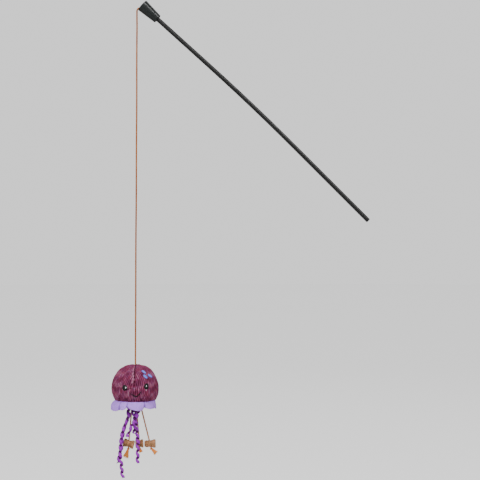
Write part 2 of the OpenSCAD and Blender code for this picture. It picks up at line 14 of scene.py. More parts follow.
import bpy
import numpy as np
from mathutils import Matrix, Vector

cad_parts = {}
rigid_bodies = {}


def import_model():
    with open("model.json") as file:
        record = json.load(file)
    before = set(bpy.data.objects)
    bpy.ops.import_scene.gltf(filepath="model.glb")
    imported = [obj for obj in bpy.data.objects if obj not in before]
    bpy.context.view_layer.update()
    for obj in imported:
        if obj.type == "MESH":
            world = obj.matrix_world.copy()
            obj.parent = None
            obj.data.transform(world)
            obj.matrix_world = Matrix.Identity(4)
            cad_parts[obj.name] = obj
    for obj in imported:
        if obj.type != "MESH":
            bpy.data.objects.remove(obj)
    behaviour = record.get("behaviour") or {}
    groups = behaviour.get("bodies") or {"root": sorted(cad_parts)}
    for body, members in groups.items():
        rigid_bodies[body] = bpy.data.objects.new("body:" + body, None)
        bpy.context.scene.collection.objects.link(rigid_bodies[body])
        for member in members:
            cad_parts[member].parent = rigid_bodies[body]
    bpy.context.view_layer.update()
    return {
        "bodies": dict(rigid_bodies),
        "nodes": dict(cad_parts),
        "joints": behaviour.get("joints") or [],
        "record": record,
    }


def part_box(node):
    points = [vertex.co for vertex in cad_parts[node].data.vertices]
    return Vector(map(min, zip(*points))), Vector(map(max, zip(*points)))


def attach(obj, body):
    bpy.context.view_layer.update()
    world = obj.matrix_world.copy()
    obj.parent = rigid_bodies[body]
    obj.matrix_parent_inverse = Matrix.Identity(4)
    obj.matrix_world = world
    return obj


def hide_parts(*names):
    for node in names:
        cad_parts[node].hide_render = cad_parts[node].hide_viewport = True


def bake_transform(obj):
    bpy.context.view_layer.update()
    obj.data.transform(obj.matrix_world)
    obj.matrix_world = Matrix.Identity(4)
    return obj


Array = np.ndarray
Colour = tuple[float, float, float]
Piece = bpy.types.Object
Socket = bpy.types.NodeSocket

LOG = logging.getLogger("teaser_wand")
MM = 0.001
TURN = 2 * math.pi
BLACK = (0.0, 0.0, 0.0)
WHITE = (1.0, 1.0, 1.0)
FLOAT = "NodeSocketFloat"
RIGHT = np.array([1.0, 0.0, 0.0])
AWAY = np.array([0.0, 1.0, 0.0])
UP = np.array([0.0, 0.0, 1.0])


class Side(Enum):
    """The three sticks, from left to right."""

    LEFT = "left"
    MIDDLE = "middle"
    RIGHT = "right"


# Surfaces


@dataclass
class Skin:
    """A surface before it becomes a mesh: points, faces by corner count, corner UVs and point values."""

    points: Array
    faces: list[Array]
    uvs: list[Array]
    values: dict[str, Array] = field(default_factory=dict)

    def volume(self) -> float:
        """Signed volume, by fans of triangles about the first corner of each face."""
        total = 0.0
        for faces in self.faces:
            first = self.points[faces[:, 0]]
            for k in range(1, faces.shape[1] - 1):
                crossed = np.cross(self.points[faces[:, k]], self.points[faces[:, k + 1]])
                total += float((first * crossed).sum())
        return total

    def facing_out(self) -> "Skin":
        """The same closed skin with its faces turned so that they point outwards."""
        if self.volume() < 0:
            self.faces = [faces[:, ::-1] for faces in self.faces]
            self.uvs = [uvs[:, ::-1] for uvs in self.uvs]
        return self

    def make(self, name: str) -> Piece:
        """Puts the skin into a new smooth mesh object at the origin.

        Args:
            name: The piece's name.

        Returns:
            The new object.
        """
        mesh = bpy.data.meshes.new(name)
        faces = [face for group in self.faces for face in group.tolist()]
        mesh.from_pydata(self.points.tolist(), [], faces)
        layer = mesh.uv_layers.new(name="along")
        layer.data.foreach_set("uv", np.concatenate([uv.reshape(-1) for uv in self.uvs]).astype(np.float32))
        for key, value in self.values.items():
            attribute = mesh.attributes.new(key, "FLOAT", "POINT")
            attribute.data.foreach_set("value", np.asarray(value, np.float32).ravel())
        mesh.polygons.foreach_set("use_smooth", np.ones(len(mesh.polygons), bool))
        mesh.update()
        piece = bpy.data.objects.new(name, mesh)
        bpy.context.scene.collection.objects.link(piece)
        return piece


def merged(skins: list[Skin]) -> Skin:
    """Joins skins into one, with the values that the first one has.

    Args:
        skins: The skins, each closed by itself.

    Returns:
        One skin.
    """
    starts = np.cumsum([0] + [len(skin.points) for skin in skins])
    return Skin(
        np.concatenate([skin.points for skin in skins]),
        [faces + start for skin, start in zip(skins, starts) for faces in skin.faces],
        [uvs for skin in skins for uvs in skin.uvs],
        {key: np.concatenate([skin.values[key] for skin in skins]) for key in skins[0].values},
    )


def lattice(points: Array, ring_rows: bool = False, values: dict[str, Array] | None = None) -> Skin:
    """A closed skin over a grid whose columns join up.

    Face (i, j) has the corners (i, j), (i, j + 1), (i + 1, j + 1) and (i + 1, j), with j taken round.

    Args:
        points: Grid of points, rows by columns by 3.
        ring_rows: Whether the last row joins the first; otherwise both end rows are closed by a face.
        values: Named values at the points.

    Returns:
        The skin, facing outwards.
    """
    rows, cols = points.shape[:2]
    count = rows if ring_rows else rows - 1
    i, j = np.meshgrid(np.arange(count), np.arange(cols), indexing="ij")
    corners = [(i, j), (i, j + 1), (i + 1, j + 1), (i + 1, j)]
    quads = np.stack([(a % rows) * cols + b % cols for a, b in corners], -1).reshape(-1, 4)
    uvs = np.stack([np.stack([b / cols, a / count], -1) for a, b in corners], -2).reshape(-1, 4, 2)
    faces, faces_uvs = [quads], [uvs]
    if not ring_rows:
        ring = np.arange(cols)
        for k, end in ((0, ring), (rows - 1, ring[::-1])):
            faces.append((end + k * cols)[None, ::-1])
            faces_uvs.append(np.stack([end[::-1] / cols, np.full(cols, k / count)], -1)[None])
    flat = {key: np.broadcast_to(v, (rows, cols)).ravel() for key, v in (values or {}).items()}
    return Skin(points.reshape(-1, 3), faces, faces_uvs, flat).facing_out()


def through(points: Array, at: Array, ring: bool = False) -> Array:
    """A Catmull-Rom curve through points at equal steps.

    Between points b and c, with a before and d after them, the value at share f is
    b + f(c - a)/2 + f^2(a - 5b/2 + 2c - d/2) + f^3(3(b - c)/2 + (d - a)/2).

    Args:
        points: Values along the first axis.
        at: Places from 0 to 1.
        ring: Whether the last point is followed by the first.

    Returns:
        The values at those places, along the first axis.
    """
    points = np.asarray(points, float)
    last = len(points) if ring else len(points) - 1
    place = np.clip(at, 0, 1) * last
    i = np.minimum(np.floor(place).astype(int), last - 1)
    f = (place - i).reshape(i.shape + (1,) * (points.ndim - 1))
    a, b, c, d = (points[(i + k) % last if ring else np.clip(i + k, 0, last)] for k in (-1, 0, 1, 2))
    return b + f * (c - a) / 2 + f**2 * (a - 2.5 * b + 2 * c - d / 2) + f**3 * (1.5 * (b - c) + (d - a) / 2)


def toned(colour: Colour, *shares: float) -> Colour:
    """A colour with its channels times the shares, or all times one share, and none over 1."""
    each = shares * 3 if len(shares) == 1 else shares
    return tuple(min(1.0, value * share) for value, share in zip(colour, each))


def unit(vectors: Array) -> Array:
    """The vectors at length 1."""
    return vectors / np.linalg.norm(vectors, axis=-1, keepdims=True)


def ease(t: Array) -> Array:
    """A smooth step from 0 to 1: t^2(3 - 2t), with t kept between 0 and 1."""
    t = np.clip(t, 0, 1)
    return t * t * (3 - 2 * t)


def waves(u: Array, v: Array, seed: int, along: tuple[float, float], around: int, count: int = 24) -> Array:
    """Smooth seeded noise between about -1 and 1 that joins up round v.

    It is a sum of sines sin(a u + b v + c), with b a whole number and random a, b and c.

    Args:
        u: Place along, in turns.
        v: Place round, in radians.
        seed: Seed of the random draws.
        along: Least and greatest rate along u, in waves per unit.
        around: Greatest whole number of waves round v.
        count: Number of sines.

    Returns:
        The noise.
    """
    draws = np.random.default_rng(seed)
    total = np.zeros(np.broadcast(u, v).shape)
    for _ in range(count):
        rate = draws.uniform(*along) * draws.choice([-1, 1])
        spin = draws.integers(-around, around + 1)
        total = total + np.sin(TURN * rate * u + spin * v + draws.uniform(0, TURN))
    return total * math.sqrt(2 / count) / 2


def lengths(path: Array) -> Array:
    """Distance along a path at each of its points."""
    steps = np.linalg.norm(np.diff(path, axis=0), axis=1)
    return np.concatenate([[0], np.cumsum(steps)])


def evenly(points: Array, step: float) -> Array:
    """Points at equal distances along the smooth curve through a route.

    Args:
        points: The route's points.
        step: Distance between the new points, in metres.

    Returns:
        The new points, from end to end of the route.
    """
    fine = through(points, np.linspace(0, 1, 60 * len(points)))
    run = lengths(fine)
    at = np.linspace(0, run[-1], max(3, int(run[-1] / step) + 1))
    return np.stack([np.interp(at, run, fine[:, k]) for k in range(3)], -1)


def swept(path: Array, across: Array, out: Array, side: Array) -> Array:
    """Carries a section along a path: point(i, j) = path(i) + out(i, j) n(i) + side(i, j) b(i).

    n is across made square to the path's direction d, and b is d x n.

    Args:
        path: Points of the path.
        across: A direction that is never along the path.
        out: Section heights along n, rows by columns.
        side: Section widths along b, rows by columns.

    Returns:
        A grid of points.
    """
    ahead = unit(np.gradient(path, axis=0))
    n = unit(across - (ahead @ across)[:, None] * ahead)
    b = np.cross(ahead, n)
    return path[:, None] + out[..., None] * n[:, None] + side[..., None] * b[:, None]


def round_ends(run: Array, radius: float, start: bool = True, end: bool = True) -> Array:
    """Shares of a tube's radius that close its ends with half balls: sqrt(1 - (1 - s/r)^2)."""
    share = np.ones(len(run))
    for on, gap in ((start, run - run[0]), (end, run[-1] - run)):
        if on:
            share = share * np.sqrt(np.clip(1 - (1 - np.clip(gap / radius, 0.02, 1)) ** 2, 0, 1))
    return share


def thread(path: Array, radius: float, across: Array = AWAY, sides: int = 8, taper: float = 1.0) -> Skin:
    """A round thread with rounded ends along a path.

    Args:
        path: Points of the path.
        radius: Radius of the thread.
        across: A direction that is never along the path.
        sides: Points round the thread.
        taper: Share of the radius at the far end.

    Returns:
        The thread's skin, with its distance along in the value "run".
    """
    run = lengths(path)
    r = radius * round_ends(run, min(radius, run[-1] / 3)) * np.linspace(1, taper, len(path))
    angle = TURN * np.arange(sides) / sides
    grid = swept(path, across, r[:, None] * np.cos(angle), r[:, None] * np.sin(angle))
    return lattice(grid, values={"run": run[:, None]})


# Finishes


class Graph:
    """Adds nodes to one node tree and joins them up."""

    def __init__(self, tree: bpy.types.NodeTree) -> None:
        """Keeps the tree."""
        self.tree = tree

    def feed(self, socket: Socket, value: Any) -> None:
        """Joins an input to an output socket, or sets its value."""
        if isinstance(value, Socket):
            self.tree.links.new(value, socket)
        else:
            socket.default_value = value

    def node(self, kind: str, sockets: dict[Any, Any] | None = None, **settings: Any) -> bpy.types.Node:
        """Adds a node.

        Args:
            kind: The node's type.
            sockets: Value or output socket for each input, by name or number.
            settings: The node's own settings.

        Returns:
            The node.
        """
        made = self.tree.nodes.new(kind)
        for name, value in settings.items():
            setattr(made, name, value)
        for name, value in (sockets or {}).items():
            self.feed(made.inputs[name], value)
        return made

    def sum(self, operation: str, a: Any, b: Any = 0.0, c: Any = 0.0) -> Socket:
        """The output of a Math node."""
        return self.node("ShaderNodeMath", {0: a, 1: b, 2: c}, operation=operation).outputs[0]

    def times(self, a: Any, b: Any) -> Socket:
        """The product of two values."""
        return self.sum("MULTIPLY", a, b)

    def noise(self, place: Any, scale: Any, detail: float = 2.0, rough: float = 0.5) -> Socket:
        """The value of a Noise Texture."""
        sockets = {"Vector": place, "Scale": scale, "Detail": detail, "Roughness": rough}
        return self.node("ShaderNodeTexNoise", sockets).outputs["Fac"]

    def mapped(self, place: Any, stretch: Any = (1, 1, 1), turn: Any = (0, 0, 0)) -> Socket:
        """A place after a Mapping node turns and stretches it."""
        sockets = {"Vector": place, "Scale": stretch, "Rotation": turn}
        return self.node("ShaderNodeMapping", sockets).outputs[0]

    def mix(self, share: Any, a: Any, b: Any) -> Socket:
        """A colour between a and b."""
        sockets = {0: share, 6: a, 7: b}
        filled = {k: (*value, 1) if isinstance(value, tuple) else value for k, value in sockets.items()}
        return self.node("ShaderNodeMix", filled, data_type="RGBA").outputs[2]

    def spread(self, value: Any, low: float, high: float, least: float = 0.0, most: float = 1.0) -> Socket:
        """The value between low and high, moved to between least and most."""
        sockets = {0: value, 1: low, 2: high, 3: least, 4: most}
        return self.node("ShaderNodeMapRange", sockets).outputs[0]

    def value(self, name: str) -> Socket:
        """A point value of the piece."""
        return self.node("ShaderNodeAttribute", attribute_name=name).outputs["Fac"]

    def place(self) -> Socket:
        """Object coordinates."""
        return self.node("ShaderNodeTexCoord").outputs["Object"]

    def uv(self) -> Socket:
        """The piece's own UV map."""
        return self.node("ShaderNodeUVMap", uv_map="along").outputs[0]

    def bump(self, height: Any, distance: float) -> Socket:
        """The normal of a Bump node."""
        return self.node("ShaderNodeBump", {"Height": height, "Distance": distance}).outputs[0]


class Effects:
    """The node groups that several finishes share, each built once."""

    made: dict[str, bpy.types.NodeTree] = {}

    @classmethod
    def group(cls, name: str, inputs: dict[str, Any], outputs: dict[str, str]) -> tuple[Graph, Any, Any]:
        """Starts a group with named sockets.

        Args:
            name: The group's name.
            inputs: Default value of each input; a tuple of 3 is a vector, of 4 a colour.
            outputs: Socket type of each output.

        Returns:
            The group's graph, and its input and output nodes.
        """
        tree = bpy.data.node_groups.new(name, "ShaderNodeTree")
        kinds = {3: "NodeSocketVector", 4: "NodeSocketColor"}
        for key, value in inputs.items():
            kind = kinds[len(value)] if isinstance(value, tuple) else FLOAT
            socket = tree.interface.new_socket(name=key, in_out="INPUT", socket_type=kind)
            socket.default_value = value
        for key, kind in outputs.items():
            tree.interface.new_socket(name=key, in_out="OUTPUT", socket_type=kind)
        graph = Graph(tree)
        cls.made[name] = tree
        return graph, graph.node("NodeGroupInput").outputs, graph.node("NodeGroupOutput").inputs

    @classmethod
    def use(cls, graph: Graph, name: str, sockets: dict[str, Any]) -> bpy.types.Node:
        """Places a group in a finish with its own values, building it the first time.

        Args:
            graph: The finish's graph.
            name: Name of the method of this class that builds the group.
            sockets: Values and sockets for the group's inputs.

        Returns:
            The group node.
        """
        if name not in cls.made:
            getattr(cls, name)()
        return graph.node("ShaderNodeGroup", sockets, node_tree=cls.made[name])

    @classmethod
    def fuzz(cls) -> None:
        """Short matted fibres: two noises of unlike size, as a height and as a mask of lit tips."""
        outputs = {"Height": FLOAT, "Tips": FLOAT}
        graph, given, out = cls.group("fuzz", {"Place": BLACK, "Scale": 1.0}, outputs)
        fine = graph.noise(given["Place"], given["Scale"], 4.0)
        wide = graph.noise(given["Place"], graph.times(given["Scale"], 0.23))
        graph.feed(out["Height"], graph.sum("MULTIPLY_ADD", wide, 0.7, fine))
        graph.feed(out["Tips"], graph.spread(fine, 0.42, 0.72))

    @classmethod
    def drift(cls) -> None:
        """A slow change of tone over a surface: the base colour goes to a dark and to a light one."""
        tone = (*BLACK, 1.0)
        inputs = {"Place": BLACK, "Scale": 1.0, "Base": tone, "Dark": tone, "Light": tone}
        graph, given, out = cls.group("drift", inputs, {"Colour": "NodeSocketColor"})
        slow = graph.noise(given["Place"], given["Scale"], 3.0)
        darker = graph.mix(graph.spread(slow, 0.5, 0.3), given["Base"], given["Dark"])
        graph.feed(out["Colour"], graph.mix(graph.spread(slow, 0.5, 0.7), darker, given["Light"]))

    @classmethod
    def drifted(cls, graph: Graph, scale: float, base: Colour, dark: Colour, light: Colour) -> Socket:
        """The colour of the drift group between its three tones."""
        tones = {"Base": (*base, 1), "Dark": (*dark, 1), "Light": (*light, 1)}
        return cls.use(graph, "drift", {"Place": graph.place(), "Scale": scale, **tones}).outputs[0]

    @classmethod
    def ridges(cls) -> None:
        """Fine parallel threads: a rounded ridge for each whole step of the coordinate."""
        outputs = {"Height": FLOAT, "Groove": FLOAT}
        graph, given, out = cls.group("ridges", {"Along": 0.0, "Count": 1.0}, outputs)
        turned = graph.times(graph.times(given["Along"], given["Count"]), math.pi)
        height = graph.sum("ABSOLUTE", graph.sum("SINE", turned))
        graph.feed(out["Height"], height)
        graph.feed(out["Groove"], graph.spread(height, 0.45, 0.0))

    @classmethod
    def wear(cls) -> None:
        """Handling marks on plastic: thin stretched scuffs and a soft dullness."""
        outputs = {"Scuffs": FLOAT, "Dull": FLOAT}
        graph, given, out = cls.group("wear", {"Place": BLACK, "Scale": 1.0}, outputs)
        streak = graph.noise(given["Place"], given["Scale"], 5.0)
        broad = graph.noise(given["Place"], graph.times(given["Scale"], 0.11))
        graph.feed(out["Scuffs"], graph.spread(streak, 0.6, 0.75))
        graph.feed(out["Dull"], graph.spread(broad, 0.35, 0.7))


@dataclass(frozen=True)
class Finish:
    """A finish: its name, its plain shader values and the nodes that vary them over the surface."""

    name: str
    roughness: float
    sheen: float = 0.0
    sheen_colour: Colour = (1, 1, 1)
    specular: float = 0.5

    def material(self) -> bpy.types.Material:
        """The finish as a material, made the first time it is asked for."""
        known = bpy.data.materials.get(self.name)
        if known:
            return known
        made = bpy.data.materials.new(self.name)
        made.use_nodes = True
        made.node_tree.nodes.clear()
        graph = Graph(made.node_tree)
        shader = graph.node("ShaderNodeBsdfPrincipled", {
            "Roughness": self.roughness, "Specular IOR Level": self.specular, "Sheen Weight": self.sheen,
            "Sheen Roughness": 0.4, "Sheen Tint": (*self.sheen_colour, 1),
        })
        graph.node("ShaderNodeOutputMaterial", {"Surface": shader.outputs[0]})
        for name, socket in self.surface(graph).items():
            graph.feed(shader.inputs[name], socket)
        return made

    def surface(self, graph: Graph) -> dict[str, Socket]:
        """The sockets that drive the shader. Each finish has its own."""
        raise NotImplementedError


@dataclass(frozen=True)
class Plastic(Finish):
    """Moulded or drawn black plastic, with faint streaks along the rod's line and handling marks."""

    colour: Colour = (0.01, 0.01, 0.01)
    wear_and_highlights: Colour = (0.03, 0.03, 0.03)
    grain: float = 900.0
    stretch: tuple[float, float, float] = (1, 1, 1)
    tilt: float = 0.0
    relief: float = 0.02 * MM

    def surface(self, graph: Graph) -> dict[str, Socket]:
        """Colour, roughness and normal of the plastic."""
        place = graph.mapped(graph.mapped(graph.place(), turn=(0, self.tilt, 0)), self.stretch)
        wear = Effects.use(graph, "wear", {"Place": place, "Scale": self.grain}).outputs
        rough = graph.sum("MULTIPLY_ADD", wear["Dull"], 0.05, self.roughness - 0.02)
        return {
            "Base Color": graph.mix(graph.times(wear["Scuffs"], 0.3), self.colour, self.wear_and_highlights),
            "Roughness": graph.sum("MULTIPLY_ADD", wear["Scuffs"], 0.05, rough),
            "Normal": graph.bump(wear["Dull"], self.relief),
        }


@dataclass(frozen=True)
class Fibrous(Finish):
    """A finish with short fibres: how many in a metre, and the depth of their relief."""

    fibres: float = 3600.0
    relief: float = 0.05 * MM

    def surface(self, graph: Graph) -> dict[str, Socket]:
        """The finish's own colour, and the normal of the fibres."""
        fuzz = Effects.use(graph, "fuzz", {"Place": graph.place(), "Scale": self.fibres}).outputs
        colour = self.tinted(graph, fuzz["Tips"])
        return {"Base Color": colour, "Normal": graph.bump(fuzz["Height"], self.relief)}

    def tinted(self, graph: Graph, tips: Socket) -> Socket:
        """The colour, given the mask of lit fibre tips. Each finish has its own."""
        raise NotImplementedError


@dataclass(frozen=True)
class Twist(Fibrous):
    """Twisted cord: strands that follow the tube's own relief, with fine fibres along them."""

    fibres: float = 4200.0
    relief: float = 0.06 * MM
    colour: Colour = (0.37, 0.112, 0.022)
    groove: Colour = (0.25, 0.06, 0.01)
    pale: Colour = (0.48, 0.175, 0.045)

    def tinted(self, graph: Graph, tips: Socket) -> Socket:
        """A tone that drifts along the cord, pale tips and painted shade in the grooves."""
        dark = toned(self.colour, 0.9, 0.72, 0.62)
        drift = Effects.drifted(graph, 45.0, self.colour, dark, self.pale)
        lit = graph.mix(graph.times(tips, 0.35), drift, self.pale)
        # Darker where the strand height is low: painted shade in the grooves between strands.
        return graph.mix(graph.spread(graph.value("crown"), 0.0, 0.75, 0.85, 0.0), lit, self.groove)


@dataclass(frozen=True)
class Corduroy(Fibrous):
    """Ribbed plush: painted shade in the grooves between the ribs, painted highlights on the crowns and a mix
    of two dyes.
    """

    fibres: float = 2100.0
    relief: float = 0.22 * MM
    colour: Colour = (0.187, 0.025, 0.078)
    groove: Colour = (0.044, 0.0018, 0.013)
    crown: Colour = (0.325, 0.078, 0.172)
    pale: Colour = (0.7, 0.36, 0.52)

    def tinted(self, graph: Graph, tips: Socket) -> Socket:
        """The two dyes, with painted highlights on the crowns and the puckers, and painted shade in the
        grooves and along the dart's seam.
        """
        redder, bluer = toned(self.colour, 1.25, 0.75, 0.6), toned(self.colour, 0.95, 1.7, 1.6)
        drift = Effects.drifted(graph, 170.0, self.colour, redder, bluer)
        rib = graph.value("rib")
        shaded = graph.mix(graph.spread(graph.value("tone"), 0.0, -1.0, 0.0, 0.75), drift, self.groove)
        # Paler on the rib crowns, most at the fibre tips: painted highlight.
        top = graph.times(graph.spread(rib, 0.45, 1.0), graph.spread(tips, 0, 1, 0.25, 1.0))
        lit = graph.mix(graph.times(top, 0.8), shaded, self.crown)
        # Paler where the piece's pale value is high: painted highlights on puckers, and a pale mark under the
        # right eye.
        wear_and_highlights = graph.mix(graph.value("pale"), lit, self.pale)
        # Darker where the rib height is low: painted shade in the grooves between ribs.
        ribbed = graph.mix(graph.spread(rib, 0.64, 0.14, 0.0, 0.95), wear_and_highlights, self.groove)
        # Darker along the dart's seam: painted shade in the seam's groove.
        return graph.mix(graph.value("seam"), ribbed, self.groove)


@dataclass(frozen=True)
class Felt(Fibrous):
    """Matted felt: fibre tips over a soft drift of tone, with painted shade where it folds in."""

    fibres: float = 1600.0
    relief: float = 0.18 * MM
    colour: Colour = (0.54, 0.27, 1.0)
    fold: Colour = (0.13, 0.04, 0.38)
    tip: Colour = (0.68, 0.38, 1.0)

    def tinted(self, graph: Graph, tips: Socket) -> Socket:
        """A drifting tone, lit tips and painted shade in the folds."""
        dark, light = toned(self.colour, 0.86), toned(self.colour, 1.1)
        drift = Effects.drifted(graph, 220.0, self.colour, dark, light)
        lit = graph.mix(graph.times(tips, 0.45), drift, self.tip)
        # Darker where the piece's fold value is high: painted shade.
        return graph.mix(graph.value("fold"), lit, self.fold)


@dataclass(frozen=True)
class Stitching(Fibrous):
    """Embroidery and sewing thread: glossy threads with painted shade in the grooves between them."""

    fibres: float = 6000.0
    colour: Colour = (0.01, 0.009, 0.01)
    groove: Colour = (0.002, 0.002, 0.002)

    def tinted(self, graph: Graph, tips: Socket) -> Socket:
        """The thread's colour with faint tips and painted shade in the grooves."""
        lit = graph.mix(graph.times(tips, 0.02), self.colour, WHITE)
        # Darker where the stitch height is low: painted shade between the threads.
        return graph.mix(graph.spread(graph.value("crown"), 0.6, 0.0, 0.0, 0.9), lit, self.groove)


@dataclass(frozen=True)
class Satin(Finish):
    """Curled satin ribbon: fine threads along it, a bright outer face and painted shade on the inner one."""

    threads: float = 13.0
    fibres: float = 2600.0
    relief: float = 0.07 * MM
    colour: Colour = (0.33, 0.012, 0.48)
    bright: Colour = (0.56, 0.045, 0.8)
    inner: Colour = (0.15, 0.0004, 0.14)

    def surface(self, graph: Graph) -> dict[str, Socket]:
        """Colour, roughness and normal of the ribbon."""
        lines = Effects.use(graph, "ridges", {"Along": graph.value("across"), "Count": self.threads}).outputs
        fuzz = Effects.use(graph, "fuzz", {"Place": graph.place(), "Scale": self.fibres}).outputs
        lit = graph.mix(graph.times(fuzz["Tips"], 0.5), self.colour, self.bright)
        # Darker in the grooves between threads: painted shade.
        lined = graph.mix(graph.times(lines["Groove"], 0.45), lit, self.inner)
        height = graph.sum("MULTIPLY_ADD", lines["Height"], 0.5, fuzz["Height"])
        return {
            # Darker on the inner face: painted shade inside the curl.
            "Base Color": graph.mix(graph.value("inside"), lined, self.inner),
            "Roughness": graph.sum("MULTIPLY_ADD", fuzz["Tips"], 0.15, self.roughness),
            "Normal": graph.bump(height, self.relief),
        }


@dataclass(frozen=True)
class Bark(Finish):
    """A debarked twig: wrinkles round it with painted shade in their hollows, grey-brown skin and paler cut
    ends with rings.
    """

    rings: float = 9.0
    relief: float = 0.35 * MM
    colour: Colour = (0.66, 0.325, 0.165)
    dark: Colour = (0.21, 0.083, 0.03)
    pale: Colour = (0.84, 0.56, 0.34)
    green: Colour = (0.42, 0.29, 0.12)

    def surface(self, graph: Graph) -> dict[str, Socket]:
        """Colour and normal of the wood."""
        drift = Effects.drifted(graph, 160.0, self.colour, self.green, toned(self.colour, 1.35))
        grain = graph.noise(graph.mapped(graph.uv(), (9, 130, 1)), 1.0, 5.0, 0.62)
        lines = graph.mix(graph.spread(grain, 0.46, 0.66), drift, self.dark)
        # Darker where the wrinkle height is low: painted shade in the hollows.
        sunk = graph.mix(graph.spread(graph.value("crown"), 0.5, 0.0, 0.0, 0.8), lines, self.dark)
        rings = Effects.use(graph, "ridges", {"Along": graph.value("ring"), "Count": self.rings}).outputs
        cut = graph.mix(graph.times(rings["Groove"], 0.5), self.pale, self.colour)
        colour = graph.mix(graph.value("cut"), sunk, cut)
        return {"Base Color": colour, "Normal": graph.bump(grain, self.relief)}


@dataclass(frozen=True)
class Strands(Fibrous):
    """Loose fibres, each in its own tone between two colours and paler towards its tip."""

    colour: Colour = (1.0, 0.33, 0.055)
    dark: Colour = (0.85, 0.21, 0.03)
    tip: Colour = (1.0, 0.47, 0.13)

    def tinted(self, graph: Graph, tips: Socket) -> Socket:
        """The fibre's own tone, paler along its length."""
        own = graph.mix(graph.value("tone"), self.dark, self.colour)
        return graph.mix(graph.spread(graph.value("run"), 2 * MM, 11 * MM), own, self.tip)


@dataclass(frozen=True)
class Wadding(Fibrous):
    """Loose white fill."""

    fibres: float = 700.0
    relief: float = 0.6 * MM
    colour: Colour = (0.86, 0.84, 0.8)
    tip: Colour = (0.95, 0.95, 0.95)

    def tinted(self, graph: Graph, tips: Socket) -> Socket:
        """White that is lightest at the tips."""
        return graph.mix(tips, self.colour, self.tip)


@dataclass(frozen=True)
class Ground(Finish):
    """The plain pale floor, which is seen as bright as the surround."""

    colour: Colour = (0.55, 0.55, 0.55)
    lighter: Colour = (0.56, 0.56, 0.56)
    glow: float = 1.62

    def surface(self, graph: Graph) -> dict[str, Socket]:
        """Colour of the floor, with the least drift of tone, and the light that it gives off."""
        colour = graph.mix(graph.noise(graph.place(), 0.7), self.colour, self.lighter)
        seen = graph.node("ShaderNodeLightPath").outputs["Is Camera Ray"]
        glow = graph.times(seen, self.glow)
        return {"Base Color": colour, "Emission Color": colour, "Emission Strength": glow}


# Tilt of the rod's line, which its streaks follow
LINE_TILT = math.radians(43.5)
ROD_FINISH = Plastic("satin_black_rod", 0.4, colour=(0.0025, 0.0025, 0.0024), wear_and_highlights=(0.012, 0.012, 0.012),
                     grain=160.0, stretch=(0.03, 1, 1), tilt=-LINE_TILT, relief=0.002 * MM)
CAP_FINISH = Plastic("satin_black_cap", 0.36, colour=(0.005, 0.0075, 0.007), wear_and_highlights=(0.016, 0.019, 0.019),
                     grain=900.0, relief=0.006 * MM)
CORD_FINISH = Twist("tan_twisted_cord", 0.72, specular=0.1)
SHORT_CORD_FINISH = Twist("brown_twisted_cord", 0.72, specular=0.1, colour=(0.62, 0.275, 0.135),
                          groove=(0.46, 0.17, 0.075), pale=(0.74, 0.4, 0.22))
KNOT_FINISH = Twist("orange_twisted_knot", 0.72, specular=0.1, colour=(0.78, 0.24, 0.05),
                    groove=(0.36, 0.085, 0.015), pale=(0.9, 0.36, 0.1))
PLUSH_FINISH = Corduroy("mauve_corduroy", 0.9, sheen=0.06, sheen_colour=(0.9, 0.5, 0.7), specular=0.08)
FELT_FINISH = Felt("lilac_felt", 0.95, specular=0.08)
EYE_FINISH = Stitching("black_embroidery", 0.42, colour=(0.004, 0.004, 0.004), specular=0.15)
LIGHT_FINISH = Stitching("white_embroidery", 0.5, colour=(0.9, 0.9, 0.9), groove=(0.5, 0.5, 0.52))
MOUTH_FINISH = Stitching("dark_mouth_thread", 0.5, colour=(0.008, 0.003, 0.005), specular=0.15)
SPOT_FINISH = Stitching("blue_embroidery", 0.42, colour=(0.2, 0.29, 1.0), groove=(0.015, 0.02, 0.32),
                        specular=0.2)
PUCKER_FINISH = Stitching("pink_sewing_thread", 0.6, colour=(0.44, 0.14, 0.26), groove=(0.2, 0.05, 0.1),
                          specular=0.1)
RIBBON_FINISH = Satin("violet_satin", 0.36, specular=0.3)
WOOD_FINISH = Bark("twig_bark", 0.78, specular=0.25)
FRAY_FINISH = Strands("orange_fray", 0.8, specular=0.1)
FILL_FINISH = Wadding("white_fill", 0.95)
FLOOR_FINISH = Ground("pale_floor", 0.9, specular=0.1)


# The object


@dataclass(frozen=True)
class Places:
    """Where the construction puts each pivot, in metres."""

    pivots: dict[str, Array]

    @classmethod
    def read(cls, joints: list[dict[str, Any]]) -> "Places":
        """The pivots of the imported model's joints, by name."""
        return cls({joint["name"]: np.array(joint["pos_m"], float) for joint in joints})

    @property
    def toy(self) -> Array:
        """Where the cord enters the head."""
        return self.pivots["toy_spin"]


def middle(node: str) -> tuple[Array, float]:
    """The middle of a CAD node's box, and half of the box's longest side."""
    low, high = (np.array(corner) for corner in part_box(node))
    return (low + high) / 2, float((high - low).max()) / 2


@dataclass
class Assembly:
    """A sub-assembly, with the places that it hangs from."""

    places: Places

    def dress(self, skin: Skin, name: str, finish: Finish, slot: str, node: str) -> Piece:
        """Makes a piece that stands for a CAD node, with its finish.

        Args:
            skin: The piece's surface.
            name: The piece's name.
            finish: Its finish.
            slot: Its material slot in the record; not used.
            node: The node that it stands for.

        Returns:
            The piece.
        """
        piece = skin.make(name)
        piece.data.materials.append(finish.material())
        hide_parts(node)
        LOG.info("%s: %d faces, %s", piece.name, len(piece.data.polygons), finish.name)
        return piece

    def put(self, skin: Skin, name: str, body: str, finish: Finish, slot: str, node: str) -> Piece:
        """Makes and dresses a piece, and lets it ride on its body."""
        piece = self.dress(skin, name, finish, slot, node)
        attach(piece, body)
        return piece

    def sew(self, skin: Skin, name: str, finish: Finish, slot: str, node: str) -> Piece:
        """Moves a skin from the toy's own frame to its place and lets it ride on the toy."""
        skin.points = skin.points + self.places.toy
        return self.put(skin, name, "toy", finish, slot, node)


